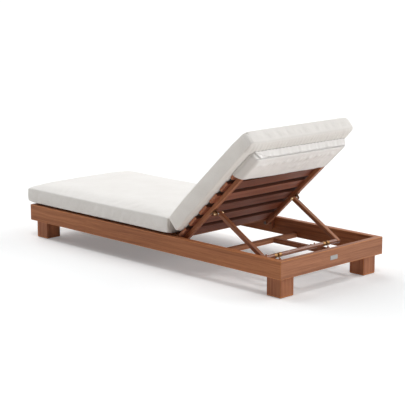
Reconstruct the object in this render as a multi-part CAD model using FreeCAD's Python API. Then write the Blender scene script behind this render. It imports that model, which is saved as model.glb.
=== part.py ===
import FreeCAD, Part
import math
import os

# Wooden sun lounger with a reclining back, a swinging prop bail and a two-section cushion.
# +Y points to the head end, +Z up, +X to the left hand of whoever lies on it.
# The origin is on the floor, under the middle of the whole object.

V = FreeCAD.Vector
SIDES = {"left": 1, "right": -1}
ENDS = {"head": 1, "foot": -1}

# Box frame
frame_length = 2000.0
frame_width = 800.0
rail_height = 93.0
rail_thickness = 33.0
rail_edge_radius = 2.5
corner_radius = 5.0

# Feet
foot_height = 104.0
foot_side = 96.0
foot_inset_x = 29.0
foot_inset_y = 25.0
foot_lap_height = 26.0
foot_edge_radius = 4.0
foot_bottom_bevel = 3.0
glide_radius = 16.0
glide_thickness = 4.0
glide_proud = 1.5

# Slats and what carries them
slat_thickness = 18.0
slat_width = 69.0
seat_slat_side_gap = 10.0
back_slat_side_gap = 3.0
slat_edge_radius = 5.0
seat_slat_count = 12
seat_slat_end_gap = 10.5
seat_slat_pivot_gap = 11.4
ledger_thickness = 25.0
ledger_past_pivot = 17.0
spine_width = 30.0
spine_height = 25.0

# Reclining back
recline_angle = 43.2
pivot_from_head = 760.0
stile_depth = 22.0
stile_width = 26.0
stile_ledger_gap = 8.0
stile_edge_radius = 2.0
back_slat_count = 7
back_slat_pitch = 104.0
first_back_slat = 23.5

# Recline pivots
recline_bolt_radius = 4.0
recline_head_radius = 9.0
recline_head_thickness = 5.0
recline_washer_radius = 11.0
running_clearance = 0.08
seat_clearance = 0.3

# Cross rail, rack bearers, racks and the ledger that the flat back rests on
cross_rail_from_head = 575.0
cross_rail_width = 28.0
cross_rail_height = 25.0
cross_rail_lift = 0.5
bearer_width = 25.0
rack_from_arm = 86.0
rack_thickness = 10.0
rack_root_height = 8.5
rack_tooth_height = 12.0
rack_tooth_pitch = 47.0
rack_tooth_count = 4
rack_tooth_length = 21.0
rack_tooth_hook = 1.5
rack_tooth_tip = 1.2
rack_tooth_sag = 2.6
rack_first_tooth_from_head = 295.0
rack_tail_before = 26.0
rack_tail_after = 40.0
head_ledger_thickness = 25.0

# Prop bail
bail_pivot_along = 286.8
bail_pivot_drop = 17.6
bar_notch = 2
bar_before_tooth = 16.5
bar_core_above_teeth = 4.0
arm_ear_gap = 9.0
arm_width = 25.0
arm_depth = 22.0
arm_edge_radius = 4.0
arm_past_bar = 13.0
arm_corner_radius = 5.0
bar_radius = 11.5
bar_tenon_radius = 8.0
bar_tenon_length = 14.0
spool_length = 50.0
spool_radius = 12.5
spool_core_radius = 4.0
spool_groove = 12.0
spool_bevel = 1.2
spigot_radius = 6.0
spigot_length = 14.0
socket_spare = 1.0
fit_clearance = 0.05

# Bail pivots
bail_bolt_radius = 3.0
bail_head_radius = 5.5
bail_head_height = 4.5
ear_thickness = 2.5
outer_ear_inset = 10.0
inner_ear_inset = 1.0
ear_width = 18.0
ear_round = 9.0
bracket_plate_length = 46.0
bracket_plate_inset = 1.0
spacer_radius = 7.5
nut_across_radius = 9.2
nut_thickness = 6.0
nut_dome_radius = 7.6
bolt_past_nut = 3.0
hex_sides = 6

# Bare plate on the head rail
plate_length = 56.0
plate_height = 22.0
plate_thickness = 1.5
plate_corner_radius = 2.5
plate_above_middle = 3.0

# Cushion
foot_overhang = 30.0
crease_before_pivot = 51.0
seat_cushion_thickness = 115.0
back_cushion_start = 49.5
back_cushion_past_frame = 92.0
back_cushion_thickness = 120.0
cushion_underside_inset = 55.0
cushion_shoulder = 58.0
cushion_side_swell = 2.5

# Hood that is sewn under the back cushion and hooks over the end of the back frame
hood_length = 164.0
hood_past_frame = 8.5
hood_wall = 1.2
hood_corner_radius = 6.0

overrun = 5.0

# Stations of the cushion lofts: place along, width, bottom, low seam, high seam, shoulder, crown.
# Places are shares of the length, widths of the width, the others of the thickness.
seat_station_shares = [
    (0.0, 0.966, 0.12, 0.25, 0.73, 0.795, 0.84),
    (0.0035, 0.982, 0.07, 0.21, 0.765, 0.85, 0.89),
    (0.011, 0.993, 0.025, 0.18, 0.79, 0.885, 0.925),
    (0.027, 0.999, 0.0, 0.165, 0.805, 0.905, 0.95),
    (0.065, 1.0, 0.0, 0.16, 0.815, 0.92, 0.965),
    (0.16, 0.998, 0.0, 0.155, 0.82, 0.93, 0.985),
    (0.37, 0.996, 0.0, 0.15, 0.82, 0.94, 1.0),
    (0.63, 0.996, 0.0, 0.155, 0.825, 0.942, 1.0),
    (0.84, 0.998, 0.0, 0.165, 0.84, 0.942, 0.992),
    (0.935, 1.0, 0.0, 0.165, 0.85, 0.925, 0.965),
    (0.968, 0.999, 0.008, 0.16, 0.845, 0.912, 0.945),
    (0.985, 0.994, 0.035, 0.155, 0.83, 0.892, 0.92),
    (0.996, 0.984, 0.07, 0.16, 0.79, 0.848, 0.87),
    (1.0, 0.970, 0.10, 0.18, 0.75, 0.79, 0.81),
]
back_station_shares = [
    (0.0, 0.975, 0.05, 0.12, 0.70, 0.76, 0.79),
    (0.006, 0.986, 0.03, 0.12, 0.735, 0.81, 0.84),
    (0.02, 0.995, 0.012, 0.118, 0.752, 0.85, 0.885),
    (0.05, 1.0, 0.0, 0.115, 0.768, 0.885, 0.925),
    (0.12, 1.0, 0.0, 0.115, 0.795, 0.92, 0.97),
    (0.25, 0.998, 0.0, 0.12, 0.825, 0.94, 1.0),
    (0.42, 0.996, 0.0, 0.13, 0.835, 0.945, 1.0),
    (0.6, 0.996, 0.0, 0.145, 0.83, 0.93, 0.985),
    (0.78, 0.998, 0.0, 0.155, 0.81, 0.905, 0.955),
    (0.9, 1.0, 0.01, 0.15, 0.775, 0.875, 0.915),
    (0.955, 0.999, 0.045, 0.15, 0.755, 0.85, 0.885),
    (0.98, 0.994, 0.09, 0.165, 0.745, 0.825, 0.855),
    (0.994, 0.984, 0.13, 0.20, 0.73, 0.79, 0.815),
    (1.0, 0.970, 0.17, 0.24, 0.70, 0.745, 0.765),
]

# Where the middle points of the underside's and the shoulder's arcs lie between their ends
under_curve_share = 0.3
shoulder_curve_share = 0.38
under_rise_share = 0.66

# Places that follow from the sizes above
length_middle = (foot_overhang - plate_thickness) / 2
head_face = length_middle + frame_length / 2
foot_face = length_middle - frame_length / 2
rail_outer = frame_width / 2
rail_inner = rail_outer - rail_thickness
rail_bottom = foot_height
rail_top = foot_height + rail_height
head_inner = head_face - rail_thickness
foot_inner = foot_face + rail_thickness
slat_bottom = rail_top - slat_thickness
foot_lap_top = foot_height + foot_lap_height
pivot_y = head_face - pivot_from_head
pivot_z = slat_bottom - stile_depth / 2
back_slats_end = first_back_slat + (back_slat_count - 1) * back_slat_pitch + slat_width
back_slat_bottom = stile_depth / 2
back_slat_top = back_slat_bottom + slat_thickness
seat_slat_length = 2 * (rail_inner - seat_slat_side_gap)
back_slat_length = 2 * (rail_inner - back_slat_side_gap)
ledger_inner_x = rail_inner - ledger_thickness
stile_outer_x = ledger_inner_x - stile_ledger_gap
stile_inner_x = stile_outer_x - stile_width
cross_rail_foot_side = head_face - cross_rail_from_head - cross_rail_width
low_rail_bottom = rail_bottom + cross_rail_lift
low_rail_top = low_rail_bottom + cross_rail_height
outer_ear_x = stile_outer_x - outer_ear_inset
inner_ear_x = stile_inner_x + inner_ear_inset
bracket_plate_edge_x = stile_outer_x - bracket_plate_inset
arm_outer_x = inner_ear_x - arm_ear_gap
arm_inner_x = arm_outer_x - arm_width
bail_bolt_in_x = arm_inner_x - seat_clearance - nut_thickness - bolt_past_nut
bail_pivot_below = stile_depth / 2 + bail_pivot_drop
rack_centre_x = arm_inner_x - rack_from_arm
rack_root = low_rail_top + rack_root_height
rack_tip = rack_root + rack_tooth_height
first_tooth_y = head_face - rack_first_tooth_from_head
bar_y = first_tooth_y + bar_notch * rack_tooth_pitch - bar_before_tooth
bar_height = rack_tip + bar_core_above_teeth + spool_core_radius
seat_cushion_start = foot_face - foot_overhang
seat_cushion_length = pivot_y - crease_before_pivot - seat_cushion_start
back_cushion_length = back_slats_end + back_cushion_past_frame - back_cushion_start
cushion_flat_width = frame_width - 2 * cushion_underside_inset


def in_back_frame(along, above):
    """Turns a place on the back, from its pivot, into the y and z of the reclined back."""
    angle = math.radians(recline_angle)
    y = pivot_y + along * math.cos(angle) - above * math.sin(angle)
    z = pivot_z + along * math.sin(angle) + above * math.cos(angle)
    return y, z


bail_y, bail_z = in_back_frame(bail_pivot_along, -bail_pivot_below)
bail_length = math.hypot(bar_y - bail_y, bar_height - bail_z)
bail_angle = math.degrees(math.atan2(bar_height - bail_z, bar_y - bail_y))


def save(name, *solids):
    """Writes one piece, or a group of like pieces, to its own file."""
    shape = solids[0] if len(solids) == 1 else Part.makeCompound(list(solids))
    shape.exportStep("parts/" + name + ".step")


def block(x, y, z):
    """A box between two values on each axis, given in any order."""
    low = V(min(x), min(y), min(z))
    return Part.makeBox(max(x) - min(x), max(y) - min(y), max(z) - min(z), low)


def rod(x, y, z, radius):
    """A cylinder along X between two values of x."""
    return Part.makeCylinder(radius, max(x) - min(x), V(min(x), y, z), V(1, 0, 0))


def ring(x, y, z, radius, bore):
    """A cylinder along X with a bore through it."""
    hole = rod((min(x) - overrun, max(x) + overrun), y, z, bore)
    return rod(x, y, z, radius).cut(hole)


def outline(points):
    """A face from corner points."""
    return Part.Face(Part.makePolygon(points + [points[0]]))


def line(a, b):
    return Part.LineSegment(a, b).toShape()


def arc(a, middle, b):
    return Part.Arc(a, middle, b).toShape()


def rounded_rectangle(x, y, z, radius):
    """A rectangle in the YZ plane at one x, with four round corners."""
    y0, y1, z0, z1 = min(y), max(y), min(z), max(z)
    off = radius - radius * math.sqrt(0.5)
    edges = [
        line(V(x, y0 + radius, z0), V(x, y1 - radius, z0)),
        arc(V(x, y1 - radius, z0), V(x, y1 - off, z0 + off), V(x, y1, z0 + radius)),
        line(V(x, y1, z0 + radius), V(x, y1, z1 - radius)),
        arc(V(x, y1, z1 - radius), V(x, y1 - off, z1 - off), V(x, y1 - radius, z1)),
        line(V(x, y1 - radius, z1), V(x, y0 + radius, z1)),
        arc(V(x, y0 + radius, z1), V(x, y0 + off, z1 - off), V(x, y0, z1 - radius)),
        line(V(x, y0, z1 - radius), V(x, y0, z0 + radius)),
        arc(V(x, y0, z0 + radius), V(x, y0 + off, z0 + off), V(x, y0 + radius, z0)),
    ]
    return Part.Face(Part.Wire(edges))


def soften(shape, radius, least, most):
    """Rounds the edges whose length lies between two values."""
    chosen = [edge for edge in shape.Edges if least < edge.Length < most]
    return shape.makeFillet(radius, chosen)


def on_back(shape):
    """Moves a shape from the back's own frame, flat and with the pivot at zero, to its place."""
    placed = shape.copy()
    placed.rotate(V(0, 0, 0), V(1, 0, 0), recline_angle)
    placed.translate(V(0, pivot_y, pivot_z))
    return placed


def on_bail(shape):
    """Moves a shape from the bail's own frame, with the bolt at zero and the bar on +Y."""
    placed = shape.copy()
    placed.rotate(V(0, 0, 0), V(1, 0, 0), bail_angle)
    placed.translate(V(0, bail_y, bail_z))
    return placed


def rail(half_length, half_width):
    """One mitred rail on +X, as long as the frame's outside, with round outer corners."""
    inner = half_width - rail_thickness
    inner_end = half_length - rail_thickness
    start = half_length - corner_radius
    turn = corner_radius * math.sqrt(0.5)
    corner_x = half_width - corner_radius + turn
    corner_y = start + turn
    near = math.radians(22.5)
    mid_x = half_width - corner_radius + corner_radius * math.cos(near)
    mid_y = start + corner_radius * math.sin(near)
    edges = [
        line(V(half_width, -start, 0), V(half_width, start, 0)),
        arc(V(half_width, start, 0), V(mid_x, mid_y, 0), V(corner_x, corner_y, 0)),
        line(V(corner_x, corner_y, 0), V(inner, inner_end, 0)),
        line(V(inner, inner_end, 0), V(inner, -inner_end, 0)),
        line(V(inner, -inner_end, 0), V(corner_x, -corner_y, 0)),
        arc(V(corner_x, -corner_y, 0), V(mid_x, -mid_y, 0), V(half_width, -start, 0)),
    ]
    solid = Part.Face(Part.Wire(edges)).extrude(V(0, 0, rail_height))
    shortest = 2 * (half_length - rail_thickness) - overrun
    solid = soften(solid, rail_edge_radius, shortest, 2 * half_length)
    solid.translate(V(0, 0, rail_bottom))
    return solid


def frame():
    """The four mitred rails."""
    for name, side in SIDES.items():
        solid = rail(frame_length / 2, frame_width / 2)
        if side < 0:
            solid.rotate(V(0, 0, 0), V(0, 0, 1), 180)
        solid.translate(V(0, length_middle, 0))
        save("side_rail_" + name, solid)
    for name, end in ENDS.items():
        solid = rail(frame_width / 2, frame_length / 2)
        solid.rotate(V(0, 0, 0), V(0, 0, 1), 90 * end)
        solid.translate(V(0, length_middle, 0))
        save(name + "_rail", solid)


def foot_block(side, end):
    """A square foot whose upper part is rebated to sit inside the frame's corner."""
    outer_x = rail_outer - foot_inset_x
    outer_y = frame_length / 2 - foot_inset_y
    inner_x = outer_x - foot_side
    inner_y = outer_y - foot_side
    solid = block((inner_x, outer_x), (inner_y, outer_y), (glide_proud, foot_height))
    uprights = [e for e in solid.Edges if abs(e.Length - foot_height + glide_proud) < glide_proud / 2]
    solid = solid.makeFillet(foot_edge_radius, uprights)
    rim = [e for e in solid.Edges if e.BoundBox.ZMax < 2 * glide_proud]
    solid = solid.makeChamfer(foot_bottom_bevel, rim)
    corner_y = frame_length / 2 - rail_thickness
    lap = block((inner_x, rail_inner), (inner_y, corner_y), (foot_height - overrun, foot_lap_top))
    recess = Part.makeCylinder(glide_radius, glide_thickness, V(0, 0, 0))
    middle_x = outer_x - foot_side / 2
    middle_y = outer_y - foot_side / 2
    recess.translate(V(middle_x, middle_y, 0))
    solid = solid.fuse(lap).removeSplitter().cut(recess)
    return turned_to_corner(solid, side, end)


def turned_to_corner(solid, side, end):
    """Mirrors a piece of the left head corner to the corner that is asked for."""
    if side < 0:
        solid = solid.mirror(V(0, 0, 0), V(1, 0, 0))
    if end < 0:
        solid = solid.mirror(V(0, 0, 0), V(0, 1, 0))
    solid.translate(V(0, length_middle, 0))
    return solid


def feet():
    """Four foot blocks and the round glides in their undersides."""
    glides = []
    for end_name, end in ENDS.items():
        for name, side in SIDES.items():
            save("foot_block_" + end_name + "_" + name, foot_block(side, end))
            x = side * (rail_outer - foot_inset_x - foot_side / 2)
            y = length_middle + end * (frame_length / 2 - foot_inset_y - foot_side / 2)
            glides.append(Part.makeCylinder(glide_radius, glide_thickness, V(x, y, 0)))
    save("foot_glides", *glides)


def slat(y, z, length):
    """A slat across the lounger, with its long edges rounded, by its foot-side lower corner."""
    section = rounded_rectangle(
        -length / 2, (y, y + slat_width), (z, z + slat_thickness), slat_edge_radius)
    return section.extrude(V(length, 0, 0))


def seat():
    """Ledgers, middle spine and the slats that lie on them, level with the rails."""
    first = foot_inner + seat_slat_end_gap
    last = pivot_y - seat_slat_pivot_gap - slat_width
    for number in range(seat_slat_count):
        y = first + (last - first) * number / (seat_slat_count - 1)
        save("seat_slat_%02d" % (number + 1), slat(y, slat_bottom, seat_slat_length))
    ledger_end = pivot_y + ledger_past_pivot
    for name, side in SIDES.items():
        ledger = block(
            (side * ledger_inner_x, side * rail_inner), (foot_inner, ledger_end),
            (foot_lap_top, slat_bottom))
        bore_x = (side * (ledger_inner_x - overrun), side * (rail_inner + overrun))
        bore = rod(bore_x, pivot_y, pivot_z, recline_bolt_radius + fit_clearance)
        save("seat_ledger_" + name, ledger.cut(bore))
    spine_end = first + (last - first) * (seat_slat_count - 2) / (seat_slat_count - 1) + slat_width
    spine = block(
        (-spine_width / 2, spine_width / 2), (foot_inner, spine_end),
        (slat_bottom - spine_height, slat_bottom))
    save("seat_spine", spine)


def rack():
    """A toothed strip along Y on its bearer. Teeth are steep to the foot and swept to the head."""
    base = low_rail_top
    root = rack_root
    tip = rack_tip
    start = first_tooth_y - rack_tail_before
    end = first_tooth_y + (rack_tooth_count - 1) * rack_tooth_pitch + rack_tail_after
    edges = []
    here = V(0, start, root)
    for number in range(rack_tooth_count):
        y = first_tooth_y + number * rack_tooth_pitch
        foot = V(0, y + rack_tooth_hook, root)
        point = V(0, y, tip)
        flat = V(0, y + rack_tooth_tip, tip)
        heel = V(0, y + rack_tooth_length, root)
        sag_y = (flat.y + heel.y) / 2 - rack_tooth_sag
        sag = V(0, sag_y, (tip + root) / 2 - rack_tooth_sag)
        edges += [line(here, foot), line(foot, point), line(point, flat), arc(flat, sag, heel)]
        here = heel
    corners = [here, V(0, end, root), V(0, end, base), V(0, start, base), V(0, start, root)]
    edges += [line(a, b) for a, b in zip(corners, corners[1:])]
    return Part.Face(Part.Wire(edges)).extrude(V(rack_thickness, 0, 0))


def prop_gear():
    """Cross rail, the two bearers with their racks, and the ledger under the flat back."""
    head_side = cross_rail_foot_side + cross_rail_width
    save("cross_rail", block(
        (-rail_inner, rail_inner), (cross_rail_foot_side, head_side), (low_rail_bottom, low_rail_top)))
    for name, side in SIDES.items():
        middle = side * rack_centre_x
        save("rack_bearer_" + name, block(
            (middle - bearer_width / 2, middle + bearer_width / 2), (head_side, head_inner),
            (low_rail_bottom, low_rail_top)))
        strip = rack()
        strip.translate(V(middle - rack_thickness / 2, 0, 0))
        save("toothed_rack_" + name, strip)
    hood_below = stile_depth / 2 + seat_clearance + hood_wall
    top = pivot_z - hood_below - seat_clearance
    save("head_ledger", block(
        (-rail_inner, rail_inner), (head_inner - head_ledger_thickness, head_inner),
        (foot_lap_top, top)))


def plate():
    """The bare metal plate on the head rail's outer face."""
    middle = rail_bottom + rail_height / 2 + plate_above_middle
    face = rounded_rectangle(
        0, (-plate_length / 2, plate_length / 2),
        (middle - plate_height / 2, middle + plate_height / 2), plate_corner_radius)
    solid = face.extrude(V(plate_thickness, 0, 0))
    solid.rotate(V(0, 0, 0), V(0, 0, 1), 90)
    solid.translate(V(0, head_face, 0))
    save("bare_plate", solid)


def stile(side):
    """A side member of the back, round about its pivot bolt."""
    x = side * stile_inner_x
    half = stile_depth / 2
    edges = [
        line(V(x, 0, -half), V(x, back_slats_end, -half)),
        line(V(x, back_slats_end, -half), V(x, back_slats_end, half)),
        line(V(x, back_slats_end, half), V(x, 0, half)),
        arc(V(x, 0, half), V(x, -half, 0), V(x, 0, -half)),
    ]
    solid = Part.Face(Part.Wire(edges)).extrude(V(side * stile_width, 0, 0))
    solid = soften(solid, stile_edge_radius, back_slats_end - overrun, back_slats_end + overrun)
    bore_x = (x - side * overrun, x + side * (stile_width + overrun))
    return solid.cut(rod(bore_x, 0, 0, recline_bolt_radius + running_clearance))


def back_frame():
    """Stiles, slats and pivot hardware of the reclining back."""
    for number in range(back_slat_count):
        along = first_back_slat + number * back_slat_pitch
        save("back_slat_%d" % (number + 1), on_back(slat(along, back_slat_bottom, back_slat_length)))
    bolts = []
    washers = []
    for name, side in SIDES.items():
        save("back_stile_" + name, on_back(stile(side)))
        head_x = side * (stile_inner_x - seat_clearance)
        shank = rod((head_x, side * rail_inner), pivot_y, pivot_z, recline_bolt_radius)
        head_end = head_x - side * recline_head_thickness
        head = rod((head_x, head_end), pivot_y, pivot_z, recline_head_radius)
        bolts.append(shank.fuse(head))
        washer_x = (side * (stile_outer_x + seat_clearance), side * ledger_inner_x)
        washers.append(ring(
            washer_x, pivot_y, pivot_z, recline_washer_radius, recline_bolt_radius + fit_clearance))
    save("recline_bolts", *bolts)
    save("recline_washers", *washers)


def bracket(side):
    """A folded plate under the stile, with two ears that carry the bail's bolt."""
    top = -stile_depth / 2
    middle = bail_pivot_along
    half = bracket_plate_length / 2
    plate_x = (side * inner_ear_x, side * bracket_plate_edge_x)
    solid = block(plate_x, (middle - half, middle + half), (top - ear_thickness, top))
    for ear_x in (inner_ear_x, outer_ear_x - ear_thickness):
        x = (side * ear_x, side * (ear_x + ear_thickness))
        span = (middle - ear_width / 2, middle + ear_width / 2)
        leaf = block(x, span, (-bail_pivot_below, top - ear_thickness / 2))
        solid = solid.fuse(leaf).fuse(rod(x, middle, -bail_pivot_below, ear_round))
    bore_x = (side * (inner_ear_x - overrun), side * (outer_ear_x + overrun))
    bore = rod(bore_x, middle, -bail_pivot_below, bail_bolt_radius + fit_clearance)
    return solid.removeSplitter().cut(bore)


def dome(x, direction, radius, height):
    """A round cap on a flat face at x, turned about the bolt's axis, bulging along X."""
    sphere = (radius ** 2 + height ** 2) / (2 * height)
    back = sphere - height
    half_turn = math.atan2(radius, back) / 2
    middle = V(sphere * math.cos(half_turn) - back, 0, sphere * math.sin(half_turn))
    edges = [
        line(V(0, 0, 0), V(0, 0, radius)),
        arc(V(0, 0, radius), middle, V(height, 0, 0)),
        line(V(height, 0, 0), V(0, 0, 0)),
    ]
    cap = Part.Face(Part.Wire(edges)).revolve(V(0, 0, 0), V(1, 0, 0), 360)
    if direction < 0:
        cap.rotate(V(0, 0, 0), V(0, 0, 1), 180)
    cap.translate(V(x, bail_pivot_along, -bail_pivot_below))
    return cap


def cap_nut(x, direction):
    """A domed hexagon nut whose flat side lies at x."""
    corners = []
    for number in range(hex_sides):
        turn = 2 * math.pi * number / hex_sides
        y = bail_pivot_along + nut_across_radius * math.cos(turn)
        z = -bail_pivot_below + nut_across_radius * math.sin(turn)
        corners.append(V(x, y, z))
    hexagon = outline(corners).extrude(V(direction * nut_thickness, 0, 0))
    bore_x = (x - direction * overrun, x + direction * (nut_thickness + bolt_past_nut))
    bore = rod(bore_x, bail_pivot_along, -bail_pivot_below, bail_bolt_radius + fit_clearance)
    cap = dome(x + direction * nut_thickness, direction, nut_dome_radius, nut_dome_radius)
    return hexagon.fuse(cap).cut(bore)


def bail_pivots():
    """Brackets, bolts, spacers and domed nuts that join the bail to the stiles."""
    bolts = []
    spacers = []
    nuts = []
    for name, side in SIDES.items():
        save("bail_bracket_" + name, on_back(bracket(side)))
        shank_x = (side * bail_bolt_in_x, side * outer_ear_x)
        shank = rod(shank_x, bail_pivot_along, -bail_pivot_below, bail_bolt_radius)
        head = dome(side * outer_ear_x, side, bail_head_radius, bail_head_height)
        bolts.append(on_back(shank.fuse(head)))
        spacer_x = (side * (arm_outer_x + seat_clearance), side * inner_ear_x)
        spacers.append(on_back(ring(
            spacer_x, bail_pivot_along, -bail_pivot_below, spacer_radius,
            bail_bolt_radius + fit_clearance)))
        nuts.append(on_back(cap_nut(side * (arm_inner_x - seat_clearance), -side)))
    save("bail_bolts", *bolts)
    save("bail_spacers", *spacers)
    save("bail_dome_nuts", *nuts)


def arm(side):
    """One arm of the bail, round about its bolt and square past the bar."""
    x = side * arm_inner_x
    half = arm_depth / 2
    end = bail_length + arm_past_bar
    r = arm_corner_radius
    off = r - r * math.sqrt(0.5)
    edges = [
        line(V(x, 0, -half), V(x, end - r, -half)),
        arc(V(x, end - r, -half), V(x, end - off, -half + off), V(x, end, -half + r)),
        line(V(x, end, -half + r), V(x, end, half - r)),
        arc(V(x, end, half - r), V(x, end - off, half - off), V(x, end - r, half)),
        line(V(x, end - r, half), V(x, 0, half)),
        arc(V(x, 0, half), V(x, -half, 0), V(x, 0, -half)),
    ]
    solid = Part.Face(Part.Wire(edges)).extrude(V(side * arm_width, 0, 0))
    solid = soften(solid, arm_edge_radius, end - r - overrun, end - r + overrun)
    bore_x = (x - side * overrun, side * (arm_outer_x + overrun))
    bore = rod(bore_x, 0, 0, bail_bolt_radius + running_clearance)
    socket_x = (x - side * overrun, x + side * (bar_tenon_length + socket_spare))
    socket = rod(socket_x, bail_length, 0, bar_tenon_radius + fit_clearance)
    return solid.cut(bore).cut(socket)


def spool(side):
    """A brass spool on the bar, whose groove straddles the rack, with a spigot at each end."""
    half = spool_length / 2
    core = spool_groove / 2
    profile = [
        (-half - spigot_length, 0), (-half - spigot_length, spigot_radius), (-half, spigot_radius),
        (-half, spool_radius - spool_bevel), (-half + spool_bevel, spool_radius),
        (-core - spool_bevel, spool_radius), (-core, spool_radius - spool_bevel),
        (-core, spool_core_radius), (core, spool_core_radius), (core, spool_radius - spool_bevel),
        (core + spool_bevel, spool_radius), (half - spool_bevel, spool_radius),
        (half, spool_radius - spool_bevel), (half, spigot_radius),
        (half + spigot_length, spigot_radius), (half + spigot_length, 0),
    ]
    face = outline([V(x, 0, radius) for x, radius in profile])
    solid = face.revolve(V(0, 0, 0), V(1, 0, 0), 360)
    solid.translate(V(side * rack_centre_x, bail_length, 0))
    return solid


def bar_piece(inner, outer):
    """A stretch of the wooden bar between two values of x."""
    return rod((inner, outer), bail_length, 0, bar_radius)


def bar_socket(face_x, direction):
    """The blind hole that takes a spool's spigot, from a face of the bar inwards."""
    deep = face_x + direction * (spigot_length + socket_spare)
    return rod((face_x - direction * overrun, deep), bail_length, 0, spigot_radius + fit_clearance)


def bail():
    """The swinging prop: two arms, a wooden bar in three lengths and two brass spools."""
    spool_inner = rack_centre_x - spool_length / 2
    spool_outer = rack_centre_x + spool_length / 2
    middle = bar_piece(-spool_inner, spool_inner)
    middle = middle.cut(bar_socket(-spool_inner, 1)).cut(bar_socket(spool_inner, -1))
    save("crossbar_middle", on_bail(middle))
    for name, side in SIDES.items():
        save("bail_arm_" + name, on_bail(arm(side)))
        save("crossbar_spool_" + name, on_bail(spool(side)))
        end = bar_piece(side * spool_outer, side * arm_inner_x)
        tenon_x = (side * (arm_inner_x - overrun), side * (arm_inner_x + bar_tenon_length))
        end = end.fuse(rod(tenon_x, bail_length, 0, bar_tenon_radius))
        save("crossbar_end_" + name, on_bail(end.cut(bar_socket(side * spool_outer, side))))


def cushion_section(y, floor, thickness, shares):
    """One station of a boxed cushion: flat below, swelling sides, round shoulders, a crown."""
    wide, bottom, low, high, shoulder, crown = shares
    half = frame_width / 2 * wide
    flat = cushion_flat_width / 2 * wide
    ledge = half - cushion_shoulder
    z = [floor + thickness * share for share in (bottom, low, high, shoulder, crown)]
    under = V((flat + half) / 2, y, z[0] + (z[1] - z[0]) * under_curve_share)
    side = V(half + cushion_side_swell, y, (z[1] + z[2]) / 2)
    top = V(half - cushion_shoulder * shoulder_curve_share, y, z[2] + (z[3] - z[2]) * under_rise_share)
    path = [V(flat, y, z[0]), under, V(half, y, z[1]), side, V(half, y, z[2]), top, V(ledge, y, z[3])]
    mirrored = [V(-point.x, point.y, point.z) for point in path]
    edges = [line(mirrored[0], path[0])]
    edges += [arc(path[k], path[k + 1], path[k + 2]) for k in (0, 2, 4)]
    edges.append(arc(path[6], V(0, y, z[4]), mirrored[6]))
    edges += [arc(mirrored[k + 2], mirrored[k + 1], mirrored[k]) for k in (4, 2, 0)]
    return Part.Wire(edges)


def cushion(start, length, floor, thickness, station_shares):
    """A crowned, boxed cushion lofted through its stations along Y."""
    wires = []
    for row in station_shares:
        y = start + length * row[0]
        wires.append(cushion_section(y, floor, thickness, row[1:]))
    return Part.makeLoft(wires, True, False)


def cushions():
    """The seat and back sections of the cushion, folded at the hinge, and the back's hood."""
    save("seat_cushion", cushion(
        seat_cushion_start, seat_cushion_length, rail_top + seat_clearance, seat_cushion_thickness,
        seat_station_shares))
    floor = back_slat_top + seat_clearance
    save("back_cushion", on_back(cushion(
        back_cushion_start, back_cushion_length, floor, back_cushion_thickness,
        back_station_shares)))
    save("cushion_hood", on_back(hood()))


def hood():
    """A shallow fabric pocket, open upwards and to the foot, around the end of the back frame."""
    inner_x = back_slat_length / 2 + seat_clearance
    outer_x = inner_x + hood_wall
    end = back_slats_end + hood_past_frame
    start = end - hood_length
    under = -stile_depth / 2 - seat_clearance
    shell = block((-outer_x, outer_x), (start, end), (under - hood_wall, back_slat_top))
    uprights = [e for e in shell.Edges
                if abs(e.BoundBox.YMin - end) < seat_clearance and e.BoundBox.XLength < seat_clearance]
    shell = shell.makeFillet(hood_corner_radius, uprights)
    room = block(
        (-inner_x, inner_x), (start - overrun, end - hood_wall), (under, back_slat_top + overrun))
    return shell.cut(room)


os.makedirs("parts", exist_ok=True)
frame()
feet()
seat()
prop_gear()
plate()
back_frame()
bail_pivots()
bail()
cushions()
print("back pivot", round(pivot_y, 2), round(pivot_z, 2))
print("bail pivot", round(bail_y, 2), round(bail_z, 2), "angle", round(bail_angle, 2))
print("bail length", round(bail_length, 2), "bar", round(bar_y, 2), bar_height)
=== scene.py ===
import logging
import math
from dataclasses import dataclass, field
from enum import Enum
from typing import Iterable, Optional, Sequence, Union

import bpy
import numpy as np
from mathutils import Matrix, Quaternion, Vector


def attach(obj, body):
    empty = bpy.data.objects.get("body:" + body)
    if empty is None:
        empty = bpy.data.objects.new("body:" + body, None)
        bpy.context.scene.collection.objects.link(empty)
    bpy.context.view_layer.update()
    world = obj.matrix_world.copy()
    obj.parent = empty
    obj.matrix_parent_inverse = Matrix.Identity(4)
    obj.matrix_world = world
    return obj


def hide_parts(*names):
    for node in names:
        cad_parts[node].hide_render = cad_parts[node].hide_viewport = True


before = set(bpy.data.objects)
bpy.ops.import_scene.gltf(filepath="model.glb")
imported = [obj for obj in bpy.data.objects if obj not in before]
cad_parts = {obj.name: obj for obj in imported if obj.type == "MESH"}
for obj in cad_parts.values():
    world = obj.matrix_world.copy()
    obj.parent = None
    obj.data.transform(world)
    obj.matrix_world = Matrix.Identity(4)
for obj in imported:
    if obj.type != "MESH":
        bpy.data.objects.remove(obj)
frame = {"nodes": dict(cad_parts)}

LOG = logging.getLogger("lounger")

OVER, RUN, UP = (1.0, 0.0, 0.0), (0.0, 1.0, 0.0), (0.0, 0.0, 1.0)
BACK_ANGLE = 43.2
ARM_ANGLE = -30.58
Socket, Material, Piece = bpy.types.NodeSocket, bpy.types.Material, bpy.types.Object
Array = np.ndarray
Triple = tuple[float, float, float]
Operand = Union["Value", float, int]


def sloping(angle: float) -> Triple:
    """The direction that rises from the foot to the head at an angle in degrees."""
    turn = math.radians(angle)
    return 0.0, math.cos(turn), math.sin(turn)


class Grain(Enum):
    """Which way the fibres of a board run."""

    ALONG = RUN
    ACROSS = OVER
    UPRIGHT = UP
    UP_THE_BACK = sloping(BACK_ANGLE)
    DOWN_THE_ARM = sloping(ARM_ANGLE)


# --------------------------------------------------------------------------- shader maths


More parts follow.
